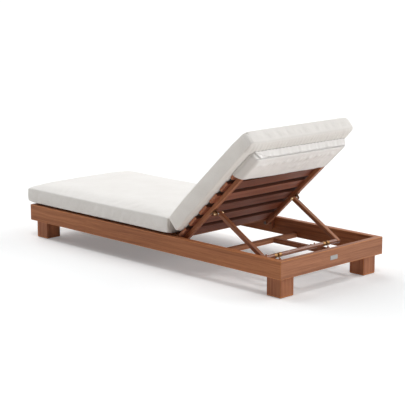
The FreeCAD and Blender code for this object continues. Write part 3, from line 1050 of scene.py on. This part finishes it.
        # Painted shade: the seam lines plus a dark crease at the corner tuck, darker gathers at
        # the lower end and a darker, striped gusset on the seat's head-end face
        gusset_shade_stripes = 0.65 + 0.35 * np.sin(x * 260 + 40 * points[:, 2])
        seam_lines_and_shade = (0.12 * bell(seams.top, 0.003) + faint * bell(seams.low, 0.0022)
                  + 0.90 * bell(seams.corner, 0.0025) + 0.80 * bell(seams.tuck, 0.006)
                  + 0.30 * seams.gather * (1 - 0.6 * np.sin(x * 247 + 1))
                  + 0.75 * seams.gusset * gusset_shade_stripes)
        add_mark(piece, "seam", unit(seam_lines_and_shade))
        add_mark(piece, "base", seams.base)
        add_mark(piece, "pucker_along", pucker * (1 - seams.endwards) * 0.55)
        add_mark(piece, "pucker_across", unit(pucker * seams.endwards * 0.7 + seams.gather))


@dataclass
class SeamMap:
    """How far each corner of a cushion is from its seams, measured on the cloth."""

    top: Array
    low: Array
    corner: Array
    endwards: Array
    base: Array
    gather: Array
    tuck: Array
    gusset: Array
    edge: Array

    @classmethod
    def of(cls, x: Array, y: Array, h: Array, pad: BoxedCushion) -> "SeamMap":
        """Measures the distances.

        Args:
            x: places across, before rounding.
            y: places along, from 0.
            h: share of the border's height.
            pad: the cushion.

        Returns:
            The map.
        """
        height = pad.thickness * pad.border
        to_side, to_far = pad.width / 2 - np.abs(x), pad.length - y
        to_end = np.minimum(y, to_far)
        on_top, on_base = h > 1 - HAIR, h < HAIR
        inwards = np.minimum(to_side, to_end)
        top = np.where(on_top, inwards, (1 - h) * height + inwards)
        low = np.where(on_base, inwards, h * height + inwards)
        corner = np.full(len(x), 1.0)
        if pad.pinched:
            corner = np.where(on_top | on_base, np.hypot(to_side, to_far),
                              np.abs(to_side - to_far))
        endwards = np.where(to_end < to_side, 1.0, 0.0)
        # The flat base between base_from and base_to is marked for the dark colour that paints
        # shade underneath
        flat = on_base & (np.abs(x) < pad.flat / 2 + 0.005)
        inside = flat & (y > pad.base_from) & (y < pad.length - pad.base_to)
        # gather, tuck and gusset also mark where the finish paints shade
        gather = np.where(on_base & (to_far < pad.base_to) & pad.raised,
                          0.75 * unit(to_far / 0.03), 0.0)
        tuck = np.sqrt(to_side ** 2 + to_far ** 2 + ((1 - h) * height) ** 2)
        tuck = tuck if pad.raised else np.full(len(x), 1.0)
        gusset = unit(1 - to_far / 0.004) * (h < 0.999) * pad.pinched
        return cls(top, low, corner, endwards, inside.astype(float), gather, tuck, gusset,
                   np.hypot(to_side, to_end))

    def nearest(self) -> Array:
        """The distance to the nearest seam."""
        return np.minimum(np.minimum(self.top, self.low), self.corner)


SEAT_STATIONS = [
    (0.0, 0.966, 0.12, 0.25, 0.73, 0.795, 0.84),
    (0.0035, 0.982, 0.07, 0.21, 0.765, 0.85, 0.89),
    (0.011, 0.993, 0.025, 0.18, 0.79, 0.885, 0.925),
    (0.027, 0.999, 0.0, 0.165, 0.805, 0.905, 0.95),
    (0.065, 1.0, 0.0, 0.16, 0.815, 0.92, 0.965),
    (0.16, 0.998, 0.0, 0.155, 0.82, 0.93, 0.985),
    (0.37, 0.996, 0.0, 0.15, 0.82, 0.94, 1.0),
    (0.63, 0.996, 0.0, 0.155, 0.825, 0.942, 1.0),
    (0.84, 0.998, 0.0, 0.165, 0.84, 0.942, 0.992),
    (0.935, 1.0, 0.0, 0.165, 0.85, 0.925, 0.965),
    (0.968, 0.999, 0.008, 0.16, 0.845, 0.912, 0.945),
    (0.985, 0.994, 0.035, 0.155, 0.83, 0.892, 0.92),
    (0.996, 0.984, 0.07, 0.16, 0.79, 0.848, 0.87),
    (1.0, 0.970, 0.10, 0.18, 0.75, 0.79, 0.81),
]
BACK_STATIONS = [
    (0.0, 0.975, 0.05, 0.12, 0.70, 0.76, 0.79),
    (0.006, 0.986, 0.03, 0.12, 0.735, 0.81, 0.84),
    (0.02, 0.995, 0.012, 0.118, 0.752, 0.85, 0.885),
    (0.05, 1.0, 0.0, 0.115, 0.768, 0.885, 0.925),
    (0.12, 1.0, 0.0, 0.115, 0.795, 0.92, 0.97),
    (0.25, 0.998, 0.0, 0.12, 0.825, 0.94, 1.0),
    (0.42, 0.996, 0.0, 0.13, 0.835, 0.945, 1.0),
    (0.6, 0.996, 0.0, 0.145, 0.83, 0.93, 0.985),
    (0.78, 0.998, 0.0, 0.155, 0.81, 0.905, 0.955),
    (0.9, 1.0, 0.01, 0.15, 0.775, 0.875, 0.915),
    (0.955, 0.999, 0.045, 0.15, 0.755, 0.85, 0.885),
    (0.98, 0.994, 0.09, 0.165, 0.745, 0.825, 0.855),
    (0.994, 0.984, 0.13, 0.20, 0.73, 0.79, 0.815),
    (1.0, 0.970, 0.17, 0.24, 0.70, 0.745, 0.765),
]


@dataclass
class Hood:
    """The fabric pocket under the back cushion that hooks over the end of the back frame."""

    node: str = "cushion_hood"
    body: str = "backrest"
    half: float = 0.3659
    low_half: float = 0.3400
    flap_half: float = 0.3520
    start: float = 0.5610
    end: float = 0.7255
    lean: float = 0.0165
    top: float = 0.0312
    under: float = -0.0120
    bar_along: float = 0.6513
    arm_across: float = 0.2875
    ledger_along: float = 0.7020
    corner: float = 0.011
    cloth: float = 0.0012
    wall: float = 0.004
    tight_to: float = 0.0105
    hinge: Hinge = field(default_factory=Hinge)

    def build(self, finish: Material) -> None:
        """Makes the pocket and the flap over its end.

        Args:
            finish: the canvas.
        """
        pocket, flap = self._pocket(), self._flap()
        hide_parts(self.node)
        for piece in (pocket, flap):
            hand_over(piece, finish, self.body)

    def _thicken(self, piece: Piece, offset: float) -> None:
        """Gives a sheet its thickness and smooths it.

        Args:
            piece: the sheet.
            offset: 0 to thicken it to both sides, 1 to thicken it outwards.
        """
        wall = piece.modifiers.new("cloth", "SOLIDIFY")
        wall.thickness = self.cloth
        wall.offset = offset
        apply_modifiers(piece)
        subdivide(piece)

    def _pocket(self) -> Piece:
        """The pocket itself: a panel below, two side walls and an end wall.

        Returns:
            The piece.
        """
        length, depth = self.end - self.start, self.top - self.under
        near_side = (0.0, 0.003, 0.006, 0.010, 0.015, 0.022, 0.030)
        near_base = (0.0, 0.003, 0.005, 0.0065, 0.0085, 0.012, 0.016, 0.021)
        across = spread(2 * self.half, 0.009, near_side) - self.half
        along = np.concatenate([np.linspace(0, length - near_side[-1], 18),
                                length - np.array(near_side[-2::-1])])
        up = np.concatenate([near_base, np.linspace(0.027, depth, 4)])
        grid = BoxGrid(len(across), len(along), len(up), tray=True)
        i, j, k = grid.cells.T
        flat = np.stack([across[i], self.start + along[j], self.under + up[k]], axis=1)
        piece = new_piece("hood_pocket", self.hinge.lift(self._drape(flat)), grid.faces())
        share = (flat[:, 1] - self.start) / length
        side = unit((np.abs(flat[:, 0]) - (self.half - self.wall)) / 0.003)
        # Painted shade: the side walls get the crease colour, and a dark line under the flap's
        # lower edge paints its shadow
        shaded = unit((np.abs(flat[:, 0]) - (self.half - 0.034)) / 0.033) ** 1.5
        fold = bell(flat[:, 2] - self.under - near_base[3], 0.0016) * (share > 0.999)
        add_mark(piece, "pucker_across", 0.15 + 0.35 * share)
        add_mark(piece, "pucker_along", 0.5 * side)
        add_mark(piece, "seam", unit(0.85 * shaded + 0.5 * bell(share, 0.008)))
        add_mark(piece, "base", 0.5 * fold * (1 - side))
        low = bell(flat[:, 2] - self.under, 0.020)
        edge = bell(self.half - np.abs(flat[:, 0]), 0.022)
        soften_where(piece, low * edge, least=0.03, rounds=10)
        self._thicken(piece, 0.0)
        return piece

    def _drape(self, points: Array) -> Array:
        """Pulls the pocket tight round the stiles, rounds its edges and lays soft folds in it.

        Args:
            points: the pocket as a plain tray.

        Returns:
            The draped points.
        """
        made = self._round_edges(points)
        x, y, z = points.T
        height = (made[:, 2] - self.under) / (self.top - self.under)
        share = (y - self.start) / (self.end - self.start)
        drawn_in = unit((self.tight_to - made[:, 2]) / (self.tight_to - self.under)) ** 0.85
        made[:, 0] *= 1 - (1 - self.low_half / self.half) * drawn_in
        made[:, 1] += self.lean * height * unit(share) ** 6
        made[:, 1] += (1 - share) * 0.009 * x / self.half + share * self._slant(x / self.half)
        narrow = unit((y - self.end + 0.012) / 0.012) * unit(height * 1.5 - 0.5)
        made[:, 0] *= 1 - 0.030 * narrow
        self._lay_folds(made, x, z, share)
        side = unit((np.abs(x) - (self.half - self.wall)) / 0.003)
        slack = np.sin(y * 128 + z * 95 + np.sign(x)) + 0.6 * np.sin(y * 61 - z * 150)
        made[:, 0] += side * np.sign(x) * (0.0009 + 0.0011 * slack) * (1 - height ** 4)
        wall = unit((y - (self.end - 0.003)) / 0.002)
        made[:, 1] += wall * 0.0012 * np.sin(x * 53 + 2 * height) * (1 - height)
        made[:, 1] += wall * 0.0035 * bell(z - self.under - 0.002, 0.004)
        return made

    def _round_edges(self, points: Array) -> Array:
        """Rounds the edges between the panel and the walls.

        Args:
            points: the pocket as a plain tray.

        Returns:
            The rounded tray.
        """
        x, y, z = points.T
        radius = self.corner
        in_x = np.clip(np.abs(x) - (self.half - radius), 0, radius)
        in_y = np.clip(y - (self.end - radius), 0, radius)
        in_z = np.clip(self.under + radius - z, 0, radius)
        reach = np.maximum(np.maximum(in_x, in_z), in_y)
        spot = np.sqrt(in_x ** 2 + in_y ** 2 + in_z ** 2)
        pull = np.where(spot > TINY, reach / np.maximum(spot, TINY), 1.0) - 1.0
        made = points.copy()
        made[:, 0] += np.sign(x) * in_x * pull
        made[:, 1] += in_y * pull
        made[:, 2] -= in_z * pull
        return made

    def _lay_folds(self, made: Array, x: Array, z: Array,
                   share: Array) -> None:
        """Lets the panel hang in folds and pleats, clear of the bar, its arms and the ledger.

        Args:
            made: the draped points, which are moved.
            x: places across, before draping.
            z: heights, before draping.
            share: places along, from 0 at the pocket's mouth to 1 at its end.
        """
        along = made[:, 1]
        panel = unit(1 - (z - self.under) / 0.012)
        inner = unit((self.low_half - np.abs(made[:, 0])) / 0.06)
        bar = bell(along - self.bar_along, 0.014)
        arms = bell(np.abs(x) - self.arm_across, 0.026)
        arms *= unit((self.bar_along + 0.024 - along) / 0.010)
        roomy = (1 - bar) * (1 - arms) * unit((self.ledger_along - along) / 0.008)
        folds = (np.sin(x * 31 + 6 * share) * np.sin(share * 3.1)
                 + 0.7 * np.sin(x * 67 - 8 * share + 1.3) * (0.2 + 0.8 * share)
                 + 0.5 * np.sin(x * 17 + 21 * share))
        made[:, 2] -= panel * inner * roomy * (0.0022 + 0.0019 * folds)
        pleats = np.sin(x * 163 + 4 * share) + 0.7 * np.sin(x * 97 - 3 * share + 0.6)
        made[:, 2] -= (panel * inner * roomy * 0.0024 * (pleats + 1.0)
                       * np.exp(-(self.ledger_along - along) / 0.045))

    @staticmethod
    def _slant(across: float) -> float:
        """How much further one side of the hood's end is than the other."""
        return 0.0035 * (across + 1)

    def _flap(self) -> Piece:
        """The flap that hangs over the pocket's end, with a loose lower edge and folded corner.

        Returns:
            The piece.
        """
        across = np.linspace(-1.0, 1.0, 161)
        down = np.linspace(0.0, 1.0, 12)
        points, seam_and_fold_shade, shaded = [], [], []
        for a in across:
            for d in down:
                corner = unit((a - 0.84) / 0.16)
                x = a * self.flap_half - corner * 0.040 * d + (a < 0) * a * a * 0.010 * d
                crease = (0.8 * math.sin(x * 57 + d) + 0.7 * math.sin(x * 121 + 1)
                          + 0.5 * math.sin(x * 209 - d))
                stitches = abs(math.sin(x * 118))
                fall = self.top - d * (self.top - self.under - 0.0085)
                fall += 0.0008 * math.sin(x * 26) * d - 0.004 * corner * d
                fall += 0.0010 * stitches * max(0.0, 1 - d * 8)
                height = (fall - self.under) / (self.top - self.under)
                ridge = 1.0 - 0.32 * d ** 1.4 - a
                fold = 0.0040 * bell(ridge, 0.02) - 0.0018 * (ridge < 0) * d
                out = (0.0026 + 0.0016 * math.sin(math.pi * min(1.0, d * 1.1))
                       + (0.0004 + 0.0018 * d) * crease + 0.0032 * d * d)
                out = max(0.0016, out + fold) + self._slant(a) + 0.003 * height
                points.append((x, self.end + self.lean * height + out, fall))
                # The seam line plus painted shade along the folded corner's crease; shaded paints
                # shade along the scalloped top seam and at the lower hem in the dark base colour
                seam_and_fold_shade.append(0.8 * bell(d, 0.05)
                                + 0.55 * bell(ridge + 0.022, 0.014) * (d > 0.08))
                shaded.append(0.8 * (1 - 0.7 * stitches) * bell(d, 0.06) + 0.35 * (d > 0.99))
        rows = len(down)
        faces = [(i * rows + k, (i + 1) * rows + k, (i + 1) * rows + k + 1, i * rows + k + 1)
                 for i in range(len(across) - 1) for k in range(rows - 1)]
        piece = new_piece("hood_flap", self.hinge.lift(np.array(points)), faces)
        add_mark(piece, "seam", unit(seam_and_fold_shade))
        add_mark(piece, "base", unit(shaded))
        add_mark(piece, "pucker_across", 0.25 + 0.5 * np.exp(-np.tile(down, len(across)) / 0.3))
        self._thicken(piece, 1.0)
        return piece


# --------------------------------------------------------------------------- rigid pieces


@dataclass
class BackSlats:
    """The seven slats of the back, with crisp arrises and cut ends."""

    count: int = 7
    first: float = 0.0235
    pitch: float = 0.104
    width: float = 0.069
    bottom: float = 0.011
    thickness: float = 0.018
    half: float = 0.364
    arris: float = 0.0022
    chamfer: float = 0.0012
    hinge: Hinge = field(default_factory=Hinge)

    def build(self, finish: Material) -> None:
        """Makes the slats.

        Args:
            finish: the timber.
        """
        for number in range(self.count):
            piece = new_piece(f"slat_board_{number + 1}", *self._board(number), smooth=False)
            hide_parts(f"back_slat_{number + 1}")
            hand_over(piece, finish, "backrest")

    def _board(self, number: int) -> tuple[Array, list[tuple[int, ...]]]:
        """One board.

        Args:
            number: which one, from the foot.

        Returns:
            Its corners and faces.
        """
        outline = self._outline(0.0)
        inner = self._outline(self.chamfer)
        rings = ((-self.half, inner), (-self.half + self.chamfer, outline),
                 (self.half - self.chamfer, outline), (self.half, inner))
        start = self.first + number * self.pitch
        points = [(x, start + along, self.bottom + above) for x, ring in rings
                  for along, above in ring]
        size = len(outline)
        faces = [tuple(range(size)), tuple(3 * size + i for i in reversed(range(size)))]
        for ring in range(3):
            for i in range(size):
                a, b = ring * size + i, ring * size + (i + 1) % size
                faces.append((a, a + size, b + size, b))
        return self.hinge.lift(np.array(points)), faces

    def _outline(self, inset: float) -> list[tuple[float, float]]:
        """The board's section, with small round corners.

        Args:
            inset: how far it stays inside the board's faces.

        Returns:
            Its corners, as along and above.
        """
        made = []
        radius = self.arris
        for corner in range(4):
            for step in range(4):
                turn = math.radians(180 + 90 * corner + 30 * step)
                along = radius if corner in (0, 3) else self.width - radius
                above = radius if corner in (0, 1) else self.thickness - radius
                along += radius * math.cos(turn)
                above += radius * math.sin(turn)
                made.append((min(max(along, inset), self.width - inset),
                             min(max(above, inset), self.thickness - inset)))
        return made


@dataclass
class Woodwork:
    """The timber nodes and which way the fibres run in each."""

    nodes: dict[str, Piece]

    def dress(self) -> None:
        """Gives every timber node its finish."""
        left, foot_end = (-1.0, 0.0, 0.0), (0.0, -1.0, 0.0)
        # Planes of the outer arrises, along which the rails get a painted highlight
        rims = ((OVER, 0.40265), (left, 0.40265), (RUN, 1.01425), (foot_end, 0.98575),
                (UP, 0.197), (UP, 0.104))
        # Painted light and shade: the end rails, cross rail and head ledger are a paler copy of
        # the timber and the side rails a deeper one, for faces turned towards and away from the
        # light
        rail_x = OiledHardwood("hardwood_end_rails_lit", Grain.ACROSS, seed=2.3, edges=rims,
                               pale=srgb(198, 138, 101), middle=srgb(164, 109, 78),
                               deep=srgb(121, 72, 50))
        rail_y = OiledHardwood("hardwood_side_rails_shaded", Grain.ALONG, seed=0.7, edges=rims,
                               pale=srgb(192, 126, 83), middle=srgb(158, 98, 61),
                               deep=srgb(114, 63, 38))
        # The feet get the same painted highlight along their arrises and bottom edge
        foot = OiledHardwood("hardwood_feet", Grain.UPRIGHT, seed=4.1,
                             edges=((OVER, 0.37365), (left, 0.37365), (RUN, 0.98925),
                                    (foot_end, 0.96075), (UP, 0.006)))
        inner_y = OiledHardwood("hardwood_inner_along", Grain.ALONG, seed=6.1, board_pitch=0.19,
                                board_axis=OVER)
        slat = OiledHardwood("hardwood_seat_slats", Grain.ACROSS, seed=8.8, board_pitch=0.10145)
        # Back slats: a darker copy of the timber as painted shade, end grain painted paler as
        # painted light, and painted shade on the faces into the gaps
        back = OiledHardwood("hardwood_back_slats_shaded", Grain.ACROSS, seed=5.2, board_pitch=0.104,
                             board_axis=Grain.UP_THE_BACK.value,
                             pale=srgb(158, 93, 66), middle=srgb(129, 72, 49),
                             deep=srgb(94, 47, 31), end_pale=srgb(188, 124, 90),
                             end_deep=srgb(142, 84, 59), gap_face_shade=srgb(80, 42, 29))
        stile = OiledHardwood("hardwood_stiles", Grain.UP_THE_BACK, seed=3.9)
        arm = OiledHardwood("hardwood_arms", Grain.DOWN_THE_ARM, seed=9.4, gloss=0.34, sheen=0.4,
                            pale=srgb(180, 118, 78), middle=srgb(142, 87, 57),
                            deep=srgb(98, 54, 35))
        bar = OiledHardwood("hardwood_bar", Grain.ACROSS, seed=1.9, gloss=0.2, sheen=0.7,
                            pale=srgb(172, 112, 80), middle=srgb(140, 86, 60),
                            deep=srgb(100, 56, 40))
        finishes = {
            "side_rail": rail_y, "head_rail": rail_x, "foot_rail": rail_x, "foot_block": foot,
            "seat_ledger": inner_y, "seat_spine": inner_y, "rack_bearer": inner_y,
            "toothed_rack": inner_y, "cross_rail": rail_x, "head_ledger": rail_x,
            "seat_slat": slat, "back_stile": stile, "bail_arm": arm,
            "crossbar_middle": bar, "crossbar_end": bar,
        }
        made = {finish: finish.make() for finish in dict.fromkeys(finishes.values())}
        for name, obj in self.nodes.items():
            for start, finish in finishes.items():
                if name.startswith(start):
                    put_finish(obj, made[finish])
        BackSlats().build(back.make())
        LOG.info("woodwork dressed")


@dataclass
class Hardware:
    """The metal and plastic nodes."""

    nodes: dict[str, Piece]

    def dress(self) -> None:
        """Gives every metal and plastic node its finish."""
        finishes = {
            DulledBrass(): ("crossbar_spool_left", "crossbar_spool_right"),
            DulledBrass("bright_brass", srgb(232, 200, 156), srgb(186, 146, 100), 0.14): (
                "bail_bolts", "bail_dome_nuts"),
            DulledBrass("browned_brass", srgb(126, 90, 62), srgb(84, 56, 40)): (
                "bail_bracket_left", "bail_bracket_right"),
            SatinSteel(): ("bail_spacers", "bare_plate"),
            SatinSteel("weathered_steel", srgb(112, 98, 90)): ("recline_bolts", "recline_washers"),
            GlidePlastic(): ("foot_glides",),
        }
        for finish, names in finishes.items():
            made = finish.make()
            for name in names:
                put_finish(self.nodes[name], made)
        LOG.info("hardware dressed")


# --------------------------------------------------------------------------- studio


@dataclass
class Studio:
    """Camera, light and floor."""

    camera_at: Triple = (5.0668, 5.22255, 1.7499)
    looking: Triple = (-0.68695, -0.69963, -0.19652)
    lens: float = 117.96
    sensor: float = 36.0
    floor_half: float = 60.0
    surround: float = 0.03
    floor_glow: float = 0.14
    glow_strength: float = 1.53
    lamps: tuple[tuple[str, Triple, float, float], ...] = (
        ("key", (0.24, 0.25, 1.0), 12.0, 0.66),
        ("over_head_end", (-0.3, 0.8, 0.55), 60.0, 0.95),
        ("over_foot_end", (0.0, -0.7, 0.7), 60.0, 2.15),
        ("far_side", (-0.9, 0.3, 0.3), 60.0, 1.58),
    )

    def build(self) -> None:
        """Makes the studio."""
        self._camera()
        for name, towards, angle, strength in self.lamps:
            self._soft_sun(name, towards, angle, strength)
        self._surround()
        self._floor()
        bpy.context.scene.view_settings.view_transform = "Standard"
        LOG.info("studio built")

    def _camera(self) -> None:
        """The camera of the photograph."""
        data = bpy.data.cameras.new("camera")
        data.lens = self.lens
        data.sensor_width = self.sensor
        data.clip_start, data.clip_end = 0.1, 200.0
        camera = self._aim("camera", data, Vector(self.looking).to_track_quat("-Z", "Y"))
        camera.location = self.camera_at
        bpy.context.scene.camera = camera

    @staticmethod
    def _aim(name: str, data: bpy.types.ID, turn: Quaternion) -> Piece:
        """Puts a camera or a lamp in the scene.

        Args:
            name: its name.
            data: the camera's or the lamp's data.
            turn: how it is turned.

        Returns:
            The object.
        """
        made = bpy.data.objects.new(name, data)
        made.rotation_mode = "QUATERNION"
        made.rotation_quaternion = turn
        bpy.context.scene.collection.objects.link(made)
        return made

    def _soft_sun(self, name: str, towards: Triple, angle: float, strength: float) -> None:
        """A wide even light from far away.

        Args:
            name: its name.
            towards: the direction that it comes from.
            angle: how wide it is, in degrees.
            strength: its strength.
        """
        data = bpy.data.lights.new(name, "SUN")
        data.angle = math.radians(angle)
        data.energy = strength
        self._aim(name, data, Vector(towards).to_track_quat("Z", "Y"))

    def _surround(self) -> None:
        """An even pale surround, which the camera sees as white."""
        world = bpy.data.worlds.new("surround")
        tree = Tree(world)
        dim, white = (
            tree.node("ShaderNodeBackground", None, {"Color": colour, "Strength": strength})
            for colour, strength in (((1.0, 0.995, 0.985, 1.0), self.surround),
                                     ((1.0, 1.0, 1.0, 1.0), 1.0)))
        shown = tree.ray("Is Camera Ray")
        for kind in ("Is Glossy Ray", "Is Transmission Ray"):
            shown = tree.math("MAXIMUM", shown, tree.ray(kind))
        both = tree.mix(shown, dim.outputs[0], white.outputs[0])
        tree.node("ShaderNodeOutputWorld", None, {"Surface": both})
        bpy.context.scene.world = world

    def _floor(self) -> None:
        """A wide white floor that keeps the lounger's shadow."""
        far = self.floor_half
        corners = np.array([(-far, -far, 0), (far, -far, 0), (far, far, 0), (-far, far, 0)])
        floor = new_piece("floor", corners, [(0, 1, 2, 3)], smooth=False)
        tree = Finish("floor_paper")
        fibre = tree.noise(tree.place(), 30.0, 3.0)
        colour = tree.stops(fibre, [(0.3, (0.98, 0.99, 0.995)), (0.7, (0.985, 0.995, 1.0))])
        paper = tree.node("ShaderNodeBsdfDiffuse", None, {"Color": colour})
        glow = tree.node("ShaderNodeEmission", None, {
            "Color": colour, "Strength": self.glow_strength})
        seen = tree.mix(self.floor_glow, paper.outputs[0], glow.outputs[0])
        tree.surface(Base_Color=(0.95, 0.93, 0.905), Roughness=0.9, Specular_IOR_Level=0.0)
        shown = (tree.ray("Is Camera Ray") + tree.ray("Is Glossy Ray")).ramp(0.0, 1.0)
        both = tree.mix(shown, tree.shader.outputs["BSDF"], seen)
        tree.feed(tree.output.inputs["Surface"], both)
        put_finish(floor, tree.material)


def main() -> None:
    """Dresses the lounger and builds the studio round it."""
    logging.basicConfig(level=logging.INFO, format="%(name)s %(message)s")
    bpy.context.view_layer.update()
    Studio().build()
    nodes = frame["nodes"]
    Woodwork(nodes).dress()
    Hardware(nodes).dress()
    seat_canvas = Canvas("canvas_seat").make()
    back_canvas = Canvas("canvas_back", bright=srgb(244, 241, 237), shade=srgb(235, 231, 226),
                         tilt=BACK_ANGLE).make()
    BoxedCushion("seat_pad_cover", "seat_cushion", "seat_pad", start=-1.01575, length=1.219,
                 floor=0.1973, thickness=0.115, stations=SEAT_STATIONS, corners=(0.007, 0.006),
                 pinched=True).build(seat_canvas)
    BoxedCushion("back_pad_cover", "back_cushion", "backrest", start=0.0495, length=0.759,
                 floor=0.0293, thickness=0.120, stations=BACK_STATIONS, raised=True,
                 corners=(0.007, 0.012), base_to=0.067, seed=5).build(back_canvas)
    # Painted light: the hood's canvas is a paler copy of the canvas
    Hood().build(Canvas("canvas_hood_lit", bright=srgb(251, 249, 247), shade=srgb(244, 241, 238),
                        tilt=BACK_ANGLE).make())


if __name__ == "__main__":
    main()
